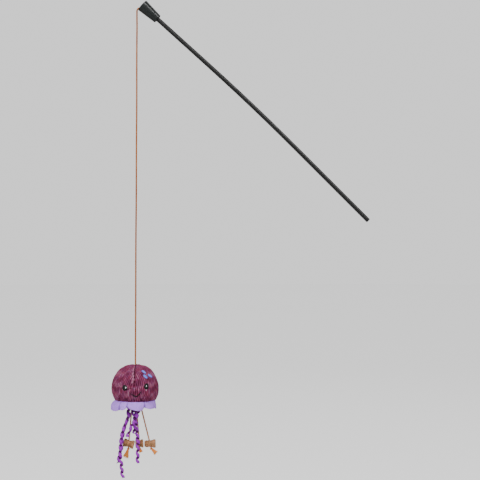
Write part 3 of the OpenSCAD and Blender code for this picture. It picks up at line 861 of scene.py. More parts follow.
@dataclass
class Studio:
    """The camera at the photograph's place, the pale floor and the soft lights."""

    span: float = 0.768
    centre: tuple[float, float] = (-0.1472, -0.0890)
    surround: float = 1.1
    ambient: float = 0.35
    lens: float = 100.0
    sensor: float = 36.0
    floor_z: float = -0.62
    floor_r: float = 14.0

    def build(self) -> None:
        """Makes the camera, the floor, the lights and the sky."""
        self.camera()
        self.floor()
        self.lights()
        self.sky()

    def camera(self) -> None:
        """A level camera that sees the photograph's width at the wand's plane."""
        lens = bpy.data.cameras.new("camera")
        lens.lens, lens.sensor_width = self.lens, self.sensor
        lens.clip_end = 4 * self.floor_r
        camera = bpy.data.objects.new("camera", lens)
        distance = self.span * self.lens / self.sensor
        camera.location = (self.centre[0], -distance, self.centre[1])
        camera.rotation_euler = (math.pi / 2, 0, 0)
        bpy.context.scene.collection.objects.link(camera)
        bpy.context.scene.camera = camera

    def floor(self) -> None:
        """A wide disc: a ring of points about its middle, drawn in to the middle."""
        angle = TURN * np.arange(96) / 96
        share = np.array([1.0, 0.5, 0.2, 0.001])[:, None]
        top = np.stack([share * np.cos(angle), share * np.sin(angle), 0 * share * angle], -1) * self.floor_r
        under = top[::-1] - 0.01 * UP
        grid = np.concatenate([under, top]) + self.floor_z * UP
        floor = lattice(grid).make("floor")
        floor.data.materials.append(FLOOR_FINISH.material())

    def light(self, name: str, power: float, size: float, place: tuple[float, float, float]) -> None:
        """A square soft light that looks at the toy and the wand's middle."""
        lamp = bpy.data.lights.new(name, "AREA")
        lamp.energy, lamp.size = power, size
        made = bpy.data.objects.new(name, lamp)
        made.location = place
        aim = Vector((self.centre[0], 0, self.centre[1])) - Vector(place)
        made.rotation_euler = aim.to_track_quat("-Z", "Y").to_euler()
        bpy.context.scene.collection.objects.link(made)

    def lights(self) -> None:
        """A key from the upper left front, a fill, one from behind and one that the rod mirrors."""
        self.light("key", 54.0, 1.1, (-1.1, -1.7, 1.4))
        self.light("fill", 12.0, 1.6, (1.7, -1.6, -0.2))
        self.light("back", 7.0, 1.6, (0.4, 1.9, 1.4))
        self.light("gloss", 15.0, 0.6, (0.9, -1.0, 1.25))

    def sky(self) -> None:
        """An even white surround that is seen brighter than it lights."""
        world = bpy.data.worlds.new("surround")
        world.use_nodes = True
        graph = Graph(world.node_tree)
        background = world.node_tree.nodes["Background"]
        background.inputs["Color"].default_value = (1, 1, 1, 1)
        seen = graph.node("ShaderNodeLightPath").outputs["Is Camera Ray"]
        strength = graph.sum("MULTIPLY_ADD", seen, self.surround - self.ambient, self.ambient)
        graph.tree.links.new(strength, background.inputs["Strength"])
        bpy.context.scene.world = world


@dataclass
class Cord(Assembly):
    """The long cord: one run of twisted strands from the knot in the cap to the knot in the toy."""

    radius: float = 1.3 * MM
    strands: int = 3
    lay: float = 5.6 * MM
    relief: float = 0.2
    step: float = 0.55 * MM
    sides: int = 18
    grip_tilt: float = 45.0
    bow_turn: float = 2.9
    bend_half: float = 4.0 * MM
    ease_run: float = 12.0 * MM
    knot_drop: float = 10.0 * MM
    rim_run: float = 13.0 * MM
    # Route in the cap: distance out of the mouth and distance to its low side, in millimetres
    lead_route: tuple[tuple[float, float], ...] = (
        (-18.6, 0), (-14, 0), (-11.5, 0.3), (-9, 1.4), (-6.5, 3.2), (-4, 5), (-1.5, 6.2), (0.6, 7),
        (1.3, 8.1), (1.4, 9.4), (1.1, 10.7), (0.1, 12.6), (-1.6, 14.5), (-3.6, 16.7),
    )
    # Route below the second pivot, as X and Z in millimetres
    hang_route: tuple[tuple[float, float], ...] = (
        (0, 0), (0.1, -10), (0, -25), (-0.2, -50), (-0.3, -80), (-0.3, -115), (-0.4, -150),
        (-0.7, -185), (-0.9, -220), (-1, -260), (-1.2, -300), (-1.6, -340), (-1.8, -380),
        (-1.9, -420), (-2, -460), (-2.2, -495), (-2.3, -520), (-2.4, -539.5), (-2.4, -548.2),
    )

    def lead_points(self) -> Array:
        """The route in the cap, which ends at the first pivot."""
        tilt = math.radians(self.grip_tilt - self.bow_turn)
        out = np.array([-math.cos(tilt), 0, math.sin(tilt)])
        low = np.array([-math.sin(tilt), 0, -math.cos(tilt)])
        route = np.array(self.lead_route) * MM
        route = route - route[-1]
        return self.places.pivots["cord_swing"] + route[:, :1] * out + route[:, 1:] * low

    def hang_points(self) -> Array:
        """The route from the second pivot down to the last one."""
        route = np.array(self.hang_route) * MM
        return self.places.pivots["cord_sway"] + np.stack([route[:, 0], 0 * route[:, 0], route[:, 1]], -1)

    def lapped(self, path: Array, start: bool, end: bool) -> Array:
        """The path made longer by the cord's radius, so that the round end hides in the next piece."""
        before = path[:1] - self.radius * unit(path[1] - path[0])
        after = path[-1:] + self.radius * unit(path[-1] - path[-2])
        return np.concatenate([before] * start + [path] + [after] * end)

    def rope(self, path: Array, start: float) -> Skin:
        """Twisted cord along a path.

        The radius at angle a and distance s is r(1 - d(1 - |cos(n(a - 2 pi s / lay) / 2)|)), so n
        rounded strands wind round the path.

        Args:
            path: Points of the path, close together.
            start: Distance along the whole cord where the path starts.

        Returns:
            The cord's skin, with the strand's height in the value "crown".
        """
        run = lengths(path)
        angle = TURN * np.arange(self.sides) / self.sides
        phase = self.strands * (angle - TURN * (run[:, None] + start) / self.lay) / 2
        crown = np.abs(np.cos(phase))
        reach = self.radius * (1 - self.relief * (1 - crown)) * round_ends(run, self.radius)[:, None]
        grid = swept(path, AWAY, reach * np.cos(angle), reach * np.sin(angle))
        return lattice(grid, values={"crown": crown})

    def build(self) -> None:
        """Makes the cord in four pieces that bend into each other at the pivots."""
        below = self.places.pivots["cord_swing"] - self.bend_half * UP
        low = self.places.pivots["toy_tilt"]
        top = self.places.toy
        fine = evenly(self.hang_points(), self.step)
        cut = int(self.ease_run / self.step)
        eased = fine[cut // 3 : cut : cut // 3]
        lead_path = evenly(np.concatenate([self.lead_points(), below[None]]), self.step)
        bend_path = evenly(np.stack([below, self.places.pivots["cord_sway"], *eased]), self.step)
        join = bend_path[-1]
        hang_path = np.concatenate([join[None], fine[fine[:, 2] < join[2] - self.step / 2]])
        tail_path = evenly(np.stack([low, top, top - self.knot_drop * UP]), self.step)
        pieces = []
        begun = 0.0
        for name, node, path, start, end in (
            ("cord_over_rim", "cord_lead", lead_path, False, True),
            ("cord_bend_piece", "cord_bend", bend_path, True, True),
            ("hanging_cord", "hang_cord", hang_path, True, True),
            ("cord_into_toy", "cord_tail", tail_path, True, False),
        ):
            rope = self.rope(self.lapped(path, start, end), begun - self.radius * start)
            pieces.append(self.dress(rope, name, CORD_FINISH, "cord", node))
            begun += lengths(path)[-1]
        lead, bend, hang, tail = pieces
        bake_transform(lead)
        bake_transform(bend)
        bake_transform(hang)
        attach(tail, "cord_end")


@dataclass
class Knots(Assembly):
    """Overhand knots: a tube along a trefoil, pulled tight."""

    steps: int = 160
    sides: int = 14
    cord_share: float = 0.42
    relief: float = 0.2

    def knot(self, centre: Array, reach: float, thick: float, turn: float) -> Skin:
        """A tight overhand knot.

        The path is (sin t + 2 sin 2t, cos t - 2 cos 2t, -1.6 sin 3t), scaled to the knot's reach.

        Args:
            centre: The knot's middle.
            reach: Outer radius of the knot.
            thick: Radius of the cord in it.
            turn: Turn about the vertical, in radians.

        Returns:
            The knot's skin.
        """
        t = np.linspace(0, TURN, self.steps, endpoint=False)
        trefoil = (np.sin(t) + 2 * np.sin(2 * t), np.cos(t) - 2 * np.cos(2 * t), -1.6 * np.sin(3 * t))
        path = np.stack(trefoil, -1) / 3.0 * (reach - thick)
        ahead = unit(np.roll(path, -1, 0) - np.roll(path, 1, 0))
        out = unit(path + 0.2 * reach * UP)
        n = unit(out - (out * ahead).sum(-1, keepdims=True) * ahead)
        b = np.cross(ahead, n)
        angle = (TURN * np.arange(self.sides) / self.sides)[:, None]
        crown = np.abs(np.cos(1.5 * angle[:, 0] - 9 * t[:, None]))
        r = thick * (1 - self.relief * (1 - crown))[..., None]
        section = r * (np.cos(angle) * n[:, None] + np.sin(angle) * b[:, None])
        x, y, z = np.moveaxis(path[:, None] + section, -1, 0)
        c, s = math.cos(turn), math.sin(turn)
        spun = np.stack([c * x - s * y, s * x + c * y, z], -1)
        return lattice(spun + centre, ring_rows=True, values={"crown": crown})

    def build(self) -> None:
        """Makes the knots in the cap and in the toy, each as large as its node's box."""
        for node, body, turn in (("anchor_knot", "wand", 0.3), ("toy_knot", "cord_end", 1.1)):
            centre, reach = middle(node)
            knot = self.knot(centre, reach, self.cord_share * reach, turn)
            self.put(knot, node + "_tied", body, CORD_FINISH, "cord", node)


@dataclass(frozen=True)
class Oval:
    """A satin-stitched oval on the head.

    Attributes:
        node: The CAD node that it stands for.
        centre: Place right of the middle and down, as shares of the head's radius and height.
        size: Width and height in millimetres.
        turn: Turn in radians.
    """

    node: str
    centre: tuple[float, float]
    size: tuple[float, float]
    turn: float = 0.0


@dataclass(frozen=True)
class Embroidery:
    """How one kind of oval is stitched.

    Attributes:
        finish: Its finish.
        slot: Its material slot in the record.
        dome: Height of the dome.
        base: Height of the edge over the smooth cover.
        stitch: Width of a stitch.
        lean: Direction of the stitches, in radians.
        ovals: The ovals of this kind.
    """

    finish: Finish
    slot: str
    dome: float
    base: float
    stitch: float
    lean: float
    ovals: tuple[Oval, ...]


EYES = Embroidery(EYE_FINISH, "black_thread", 0.75 * MM, 0.55 * MM, 0.42 * MM, 1.2, (
    Oval("eye_left", (-0.374, 0.606), (8.4, 9.0), 0.12),
    Oval("eye_right", (0.518, 0.568), (6.8, 9.2), -0.08),
))
EYE_LIGHTS = Embroidery(LIGHT_FINISH, "white_thread", 0.35 * MM, 1.3 * MM, 0.36 * MM, 0.4, (
    Oval("eye_light_left", (-0.324, 0.594), (1.8, 2.2)),
    Oval("eye_light_right", (0.512, 0.564), (1.5, 2.6)),
))
SPOTS = Embroidery(SPOT_FINISH, "blue_thread", 0.5 * MM, 0.6 * MM, 0.42 * MM, 1.57, (
    Oval("spot_upper", (0.389, 0.188), (8.2, 2.8), -0.7),
    Oval("spot_side", (0.64, 0.3), (8.2, 2.8), -0.7),
    Oval("spot_lower", (0.46, 0.313), (8.2, 3.4), -0.7),
))
# Settings of the cover's cloth; the negative shrink makes it a little longer than its place
CLOTH = {
    "quality": 8, "mass": 0.2, "tension_stiffness": 12, "compression_stiffness": 12, "shear_stiffness": 6,
    "bending_stiffness": 0.4, "use_pressure": True, "uniform_pressure_force": 4, "shrink_min": -0.045,
    "vertex_group_mass": "sewn", "pin_stiffness": 4,
}


@dataclass
class Head(Assembly):
    """The stuffed head: ribbed plush with a dart in the forehead, its face and its stitched spots."""

    # Size, ribs and the pitch at which they have their full depth
    radius: float = 37.0 * MM
    height: float = 57.0 * MM
    wall: float = 1.4 * MM
    ribs: int = 56
    rib_depth: float = 1.05 * MM
    rib_power: float = 0.7
    rib_lean: float = 0.42
    rib_wander: float = 0.06
    full_pitch: float = 3.4 * MM
    # Grids of the finished cover and of the cloth, and where on the outline both start
    rows: int = 148
    cols: int = 560
    coarse_rows: int = 40
    coarse_cols: int = 112
    hole_share: float = 0.02
    # The sewn cover before it is filled: how far it is drawn in, its lumps and its puckers
    drawn_in: float = 1.7 * MM
    lump: float = 0.4 * MM
    pinch: float = 0.8 * MM
    gather: float = 1.0 * MM
    # The cloth simulation: outline shares that end and start the held edges, the least hold of a sewn
    # point, the frames and the furthest that a point may move
    held_ends: tuple[float, float] = (0.08, 0.975)
    least_hold: float = 0.25
    puff_frames: int = 20
    puff_cap: float = 2.2 * MM
    # The dart: its turn from the front, where it starts, its size, its seam and the dimple at its end
    front: float = math.radians(1.3)
    dart_start: float = 2.5 * MM
    dart_len: float = 24.5 * MM
    dart_w: float = 6.5 * MM
    dart_depth: float = 2.8 * MM
    seam_w: float = 1.1 * MM
    seam_sink: float = 1.2 * MM
    dimple_sink: float = 1.1 * MM
    dimple_size: tuple[float, float] = (1.9 * MM, 2.1 * MM)
    # The fill: its gaps to the cover at the sides, at the top and at the bottom
    fill_gap: float = 3.6 * MM
    fill_top: float = 4.5 * MM
    fill_foot: float = 4.0 * MM
    # Painted highlights on the puckers along the dart's left lip, in millimetres: drop, distance left of the
    # middle and length
    wear_and_highlights: tuple[tuple[float, float, float], ...] = (
        (5.4, 2.2, 2.4), (11.2, 2.6, 1.6), (15.5, 2.0, 1.2), (20.8, 2.1, 2.2), (24.6, 3.1, 1.8),
    )
    # The smile: its stitches, how far they lap, and its curve as shares of the radius and of the height
    smile_stitches: int = 8
    smile_r: float = 0.9 * MM
    smile_lap: float = 0.12
    smile_heights: tuple[float, float] = (0.3 * MM, 0.75 * MM)
    smile: tuple[tuple[float, float], ...] = (
        (-0.13, 0.755), (-0.065, 0.788), (-0.005, 0.814), (0.061, 0.832), (0.134, 0.83), (0.223, 0.774),
        (0.31, 0.708),
    )
    # Threads across the dart: drop as a share of the height, place right of the dart and rise, both in
    # millimetres
    pull_r: float = 0.33 * MM
    pull_at_r: float = 25.0 * MM
    pull_heights: tuple[float, float] = (-0.5 * MM, 0.6 * MM)
    pulls: tuple[tuple[float, float, float], ...] = (
        (0.06, -1.9, 4.4), (0.13, -2.2, 4.6), (0.2, -2.4, 3.8), (0.32, -1.9, 5.2), (0.4, -2.6, 5.0),
    )
    # Outline from the cord hole to the bottom edge, as shares of the radius and of the height
    outline: tuple[tuple[float, float], ...] = (
        (0.036, 0.014), (0.16, 0.006), (0.34, 0.036), (0.5, 0.078), (0.62, 0.125), (0.72, 0.182),
        (0.81, 0.264), (0.895, 0.36), (0.965, 0.475), (0.995, 0.57), (1, 0.65), (0.99, 0.755),
        (0.955, 0.853), (0.905, 0.932), (0.85, 1),
    )
    smooth: Array = field(default_factory=lambda: np.zeros(0))
    normals: Array = field(default_factory=lambda: np.zeros(0))

    def profile(self, t: Array) -> tuple[Array, Array]:
        """Radius and drop of the outline at shares t of its points."""
        at = through(np.array(self.outline), t)
        return at[..., 0] * self.radius, at[..., 1] * self.height

    def dart(self, angle: Array, drop: Array, r: Array) -> tuple[Array, Array]:
        """The dart in the forehead: a broad sink and a narrow seam that end in a dimple.

        Args:
            angle: Angle from the front, in radians.
            drop: Drop below the top.
            r: Radius there.

        Returns:
            How far the fabric sinks, and the share of the seam from 0 to 1.
        """
        across = r * np.sin(angle - self.front)
        front = np.cos(angle - self.front) > 0
        fade = ease((self.dart_len - drop) / (0.3 * self.dart_len))
        broad = self.dart_depth * fade * np.exp(-((across / self.dart_w) ** 2) * 4)
        seam = fade * np.exp(-((across / self.seam_w) ** 2))
        wide, long = self.dimple_size
        end = np.exp(-((across / wide) ** 2) - ((drop - self.dart_len) / long) ** 2)
        sink = broad + self.seam_sink * seam + self.dimple_sink * end
        return sink * front * ease(drop / self.dart_start), np.clip(seam + end, 0, 1) * front

    def coarse_grid(self) -> tuple[Array, Array, Array, Array]:
        """Outline shares, angles, radius and drop of the coarse grid."""
        t = np.linspace(self.hole_share, 1, self.coarse_rows)[:, None]
        angle = TURN * np.arange(self.coarse_cols)[None] / self.coarse_cols
        return t, angle, *self.profile(t)

    def coarse(self) -> Array:
        """The sewn cover before it is filled, drawn in a little, rows by columns."""
        t, angle, r, drop = self.coarse_grid()
        sink, _ = self.dart(angle, drop, r)
        run_r, run_z = np.gradient(r, axis=0), np.gradient(drop, axis=0)
        run = np.hypot(run_r, run_z)
        drawn = self.drawn_in * (1 + 0.45 * np.sin(angle) * ease(2 * t))
        share = drawn * np.sin(math.pi * t) ** 0.5 / run
        top, foot = ease(1 - t / 0.5) * ease(t / 0.1), ease((t - 0.6) / 0.25) * ease((1 - t) / 0.06)
        lumps = self.lump * waves(3 * t, angle, 7, (0.5, 1.6), 9)
        lumps = lumps + self.pinch * waves(1.0 * t, angle, 8, (0.1, 0.8), 11) * top
        lumps = (lumps + self.gather * waves(1.0 * t, angle, 9, (0.1, 0.8), 17) * foot) / run
        reach = r - sink - share * run_z + lumps * run_z
        height = -drop - share * run_r + lumps * run_r
        return np.stack([reach * np.sin(angle), -reach * np.cos(angle), height], -1)

    def filled(self) -> Array:
        """The cover's points after a cloth simulation fills it.

        The hole, the bottom edge and the dart are sewn, so they stay; the fabric between them is a
        little longer than its place and puckers from the seams as the pressure lifts it.

        Returns:
            Points by rows and columns, none further than the cap from where it started.
        """
        start = self.coarse()
        piece = lattice(start).make("cover_before_fill")
        t, angle, r, drop = self.coarse_grid()
        _, seam = self.dart(angle, drop, r)
        hole, hem = self.held_ends
        held = np.clip(seam + (t < hole) + (t > hem), 0, 1).ravel()
        group = piece.vertex_groups.new(name="sewn")
        for k in np.flatnonzero(held > self.least_hold):
            group.add([int(k)], float(held[k]), "REPLACE")
        cloth = piece.modifiers.new("fill", "CLOTH")
        for key, value in CLOTH.items():
            setattr(cloth.settings, key, value)
        cloth.settings.effector_weights.gravity = 0
        cloth.collision_settings.use_collision = False
        for frame in range(1, self.puff_frames + 1):
            bpy.context.scene.frame_set(frame)
        ready = piece.evaluated_get(bpy.context.evaluated_depsgraph_get()).to_mesh()
        points = np.zeros(len(ready.vertices) * 3, np.float32)
        ready.vertices.foreach_get("co", points)
        bpy.context.scene.frame_set(1)
        bpy.data.objects.remove(piece)
        moved = points.reshape(start.shape) - start
        far = np.linalg.norm(moved, axis=-1, keepdims=True)
        LOG.info("fill moved the cover by up to %.1f mm", far.max() / MM)
        return start + moved * np.minimum(1, self.puff_cap / np.maximum(far, 1e-9))

    def smooth_cover(self) -> None:
        """Works out the filled cover on the fine grid, without its ribs, and its normals."""
        filled = self.filled()
        down = through(filled, np.linspace(0, 1, self.rows))
        ring = np.arange(self.cols) / self.cols
        self.smooth = np.moveaxis(through(np.moveaxis(down, 1, 0), ring, ring=True), 0, 1)
        along = np.gradient(self.smooth, axis=0)
        around = np.roll(self.smooth, -1, 1) - np.roll(self.smooth, 1, 1)
        self.normals = unit(np.cross(along, around))
        half = self.rows // 2
        if (self.normals[half] * self.smooth[half] * (1, 1, 0)).sum() < 0:
            self.normals = -self.normals

    def place(self, x: Array, drop: Array, lift: Array) -> Array:
        """Points on the front of the head.

        The angle from the front is asin(x / r) and the row is where the front of the cover has that
        drop on average; the fine grid is read between its points there.

        Args:
            x: Distance right of the middle.
            drop: Drop below the top.
            lift: Height over the smooth cover.

        Returns:
            The points, in the toy's own frame.
        """
        near = self.smooth[:, np.arange(-self.cols // 8, self.cols // 8)]
        drops = np.maximum.accumulate(-near[..., 2].mean(1))
        r = np.hypot(near[..., 0], near[..., 1]).mean(1)
        row = np.interp(drop, drops, np.arange(self.rows))
        angle = np.arcsin(np.clip(x / np.interp(drop, drops, r), -0.999, 0.999))
        col = angle / TURN * self.cols
        i = np.clip(np.floor(row).astype(int), 0, self.rows - 2)
        j = np.floor(col).astype(int)
        fi, fj = (row - i)[..., None], (col - j)[..., None]

        def read(grid: Array) -> Array:
            """The grid between its four nearest points."""
            a, b = grid[i, j % self.cols], grid[i, (j + 1) % self.cols]
            c, d = grid[i + 1, j % self.cols], grid[i + 1, (j + 1) % self.cols]
            return (a * (1 - fj) + b * fj) * (1 - fi) + (c * (1 - fj) + d * fj) * fi

        return read(self.smooth) + np.asarray(lift)[..., None] * unit(read(self.normals))

    def cover(self) -> Skin:
        """The plush cover: ribs over the filled form, and its inner face.

        Rib height is d |cos(n b / 2)|^0.7, with b the angle from the front after the ribs are turned in
        towards the dart: b = |a| - g, where g grows down the dart and fades to the sides.

        Returns:
            The skin, in the toy's own frame, with the rib height, the painted highlights and the painted
            shade of the seam as values.
        """
        t = np.linspace(0, 1, self.rows)[:, None]
        angle = (TURN * np.arange(self.cols) / self.cols)[None]
        turned = (angle - self.front + math.pi) % TURN - math.pi
        r, drop = self.profile(self.hole_share + (1 - self.hole_share) * t)
        _, seam = self.dart(angle, drop, r)
        lean = self.rib_lean * ease(drop / self.dart_len) * np.cos(turned / 2)
        lean = lean * np.exp(-((turned / 0.85) ** 2))
        wander = self.rib_wander * waves(2 * t, turned, 21, (0.4, 1.5), 5)
        phase = self.ribs * (np.abs(turned) - lean + wander) / 2
        crown = np.abs(np.cos(phase)) ** self.rib_power
        nub = 0.5 + 0.5 * waves(30 * t, angle, 5, (0.5, 2.2), 200, 60)
        pitch = TURN * r / self.ribs
        depth = self.rib_depth * np.clip(pitch / self.full_pitch, 0, 1) * (1 - 0.85 * seam)
        tuck = ease((1 - t) / 0.03)
        lift = depth * (crown * (0.75 + 0.25 * nub) - 0.4) * (0.3 + 0.7 * tuck)
        outer = self.smooth + lift[..., None] * self.normals
        rib_at = 2 * np.round(phase / math.pi) / self.ribs * TURN
        tone = np.clip(1.3 * waves(2.5 * t, rib_at, 61, (0.3, 2.5), 30, 30), -1, 1) * ease(drop / (9 * MM))
        # Painted highlights on puckers and on the crowns of the lighter ribs, and a pale mark under the right
        # eye.
        pale = np.clip(self.pale(turned, drop, r) + 0.24 * np.clip(tone, 0, 1) * crown, 0, 0.9)
        # Darker along the dart's seam: painted shade.
        dark = 0.97 * np.clip(1.25 * seam, 0, 1) * ease(drop / (1.5 * MM))
        inner_rows = np.linspace(self.rows - 1, 0, 14).astype(int)
        inner = self.smooth[inner_rows] - self.wall * self.normals[inner_rows]
        zero = np.zeros((len(inner_rows), self.cols))
        values = {"rib": crown + 0 * t, "pale": pale, "tone": tone, "seam": dark}
        padded = {key: np.concatenate([value, zero]) for key, value in values.items()}
        return lattice(np.concatenate([outer, inner]), ring_rows=True, values=padded)

    def pale(self, angle: Array, drop: Array, r: Array) -> Array:
        """Painted highlights on puckers left of the dart and by the mouth, and a pale mark under the right
        eye.
        """
        x, y = r * np.sin(angle) / MM, drop / MM

        def bell(across: Array, down: Array) -> Array:
            """A soft round mark: exp(-across^2 - down^2)."""
            return np.exp(-(across**2) - down**2)

        line = 0 * x * y
        for at, side, long in self.wear_and_highlights:
            line = np.maximum(line, bell((x + side - 0.25 * (at - y)) / 1.05, (y - at) / long))
        fold = bell((x + 9.2) / 0.6, (y - 43) / 4.5)
        mark = bell((x - 18.1) / 0.9, (y - 38) / 0.9)
        return np.clip(line + 0.75 * fold + 0.8 * mark, 0, 0.9) * (np.cos(angle) > 0)

    def patch(self, kind: Embroidery, oval: Oval) -> Skin:
        """A satin-stitched oval on the head.

        At share p of the oval's radius the height is h sqrt(1 - p^2), plus a small ridge for each stitch
        across it; the underside lies in the plush.

        Args:
            kind: How it is stitched.
            oval: Its place, size and turn.

        Returns:
            The skin, in the toy's own frame, with the stitch height in the value "crown".
        """
        p = np.concatenate([np.linspace(0.02, 1, 26), np.linspace(0.97, 0.02, 6)])[:, None]
        top = (np.arange(32) < 26)[:, None]
        a = (TURN * np.arange(72) / 72)[None]
        ragged = p * (1 + 0.02 * np.sign(np.sin(19 * a)) * (p > 0.9)) / 2 * MM
        u, v = oval.size[0] * ragged * np.cos(a), oval.size[1] * ragged * np.sin(a)
        c, s = math.cos(oval.turn), math.sin(oval.turn)
        x = oval.centre[0] * self.radius + u * c - v * s
        drop = oval.centre[1] * self.height - (u * s + v * c)
        crown = np.abs(np.sin(math.pi * (u * math.cos(kind.lean) + v * math.sin(kind.lean)) / kind.stitch))
        # The stitch height fades out at the rim, so the thread's painted groove shade darkens the rim too.
        crown = crown * ease((1 - p) / 0.16)
        lift = kind.base + kind.dome * np.sqrt(np.clip(1 - p**2, 0, 1)) + 0.1 * MM * crown
        lift = np.where(top, lift, -0.2 * MM)
        return lattice(self.place(x, drop, lift), values={"crown": np.where(top, crown, 0.0)})

    def embroider(self, kind: Embroidery) -> None:
        """Sews each oval of one kind on the head."""
        for oval in kind.ovals:
            self.sew(self.patch(kind, oval), oval.node + "_stitched", kind.finish, kind.slot, oval.node)

    def stitch(self, start: Array, end: Array, radius: float, heights: tuple[float, float]) -> Skin:
        """One stitch over the plush, which rises from its ends to its middle.

        Args:
            start: Place right of the middle and drop of one end.
            end: The same for the other end.
            radius: Radius of the thread.
            heights: Height of the ends and of the middle over the smooth cover.

        Returns:
            The skin, in the toy's own frame.
        """
        s = np.linspace(0, 1, 14)
        low, high = heights
        lift = low + (high - low) * np.sin(math.pi * s) ** 0.6
        path = self.place(start[0] + (end[0] - start[0]) * s, start[1] + (end[1] - start[1]) * s, lift)
        made = thread(path, radius, across=np.array([0.0, -1.0, 0.15]), sides=10)
        # Ply height, which the thread's finish darkens where it is low as painted shade between the plies.
        ply = np.abs(np.cos(np.linspace(0, 5 * math.pi, 14)))[:, None] * np.ones(10)
        made.values = {"crown": ply.ravel()}
        return made

    def mouth(self) -> Skin:
        """The smile: short stitches end to end along a curve, each a little over the next."""
        count = self.smile_stitches
        ends = through(np.array(self.smile), np.linspace(0, 1, count + 1)) * (self.radius, self.height)
        thick = self.smile_r * (0.58 + 0.42 * np.sin(math.pi * (np.arange(count) + 0.5) / count))
        over = self.smile_lap * np.diff(ends, axis=0)
        return merged([
            self.stitch(ends[k] - over[k], ends[k + 1] + over[k], thick[k], self.smile_heights)
            for k in range(count)
        ])

    def dart_threads(self) -> Skin:
        """Short pink threads that cross the dart, most of each on its left."""
        skins = []
        for share, right, rise in self.pulls:
            x, drop = self.front * self.pull_at_r + right * MM, share * self.height
            start = (x - 0.4 * MM, drop + rise / 2 * MM)
            end = (x + 0.5 * MM, drop - rise / 2 * MM)
            skins.append(self.stitch(start, end, self.pull_r, self.pull_heights))
        return merged(skins)

    def stuffing(self) -> Skin:
        """The fill: the outline drawn in from the cover, with lumps and the hollow of the dart."""
        t = np.linspace(0.09, 0.97, 60)[:, None]
        angle = (TURN * np.arange(96) / 96)[None]
        r, drop = self.profile(t)
        sink, _ = self.dart(angle, drop, r)
        tall = self.height - self.fill_top - self.fill_foot
        drop = self.fill_top + (drop - drop[0]) * tall / (drop[-1] - drop[0])
        lumpy = 1 + 0.012 * waves(3 * t, angle, 3, (0.5, 2), 7)
        closing = np.concatenate([[0.05, 0.5, 0.8], np.ones(54), [0.9, 0.6, 0.05]])[:, None]
        r = ((r - self.wall - self.fill_gap) * lumpy - 1.3 * sink) * closing
        return lattice(np.stack([r * np.sin(angle), -r * np.cos(angle), -drop + 0 * angle], -1))

    def build(self) -> None:
        """Makes the cover, the fill, the eyes, the smile, the spots and the dart's threads."""
        self.smooth_cover()
        cover = self.sew(self.cover(), "plush_head", PLUSH_FINISH, "corduroy", "head_cover")
        self.sew(self.stuffing(), "head_fill", FILL_FINISH, "fill", "head_stuffing")
        self.embroider(EYES)
        self.embroider(EYE_LIGHTS)
        self.sew(self.mouth(), "smile", MOUTH_FINISH, "black_thread", "mouth_thread")
        self.embroider(SPOTS)
        self.sew(self.dart_threads(), "dart_threads", PUCKER_FINISH, "pink_thread", "dart_stitches")


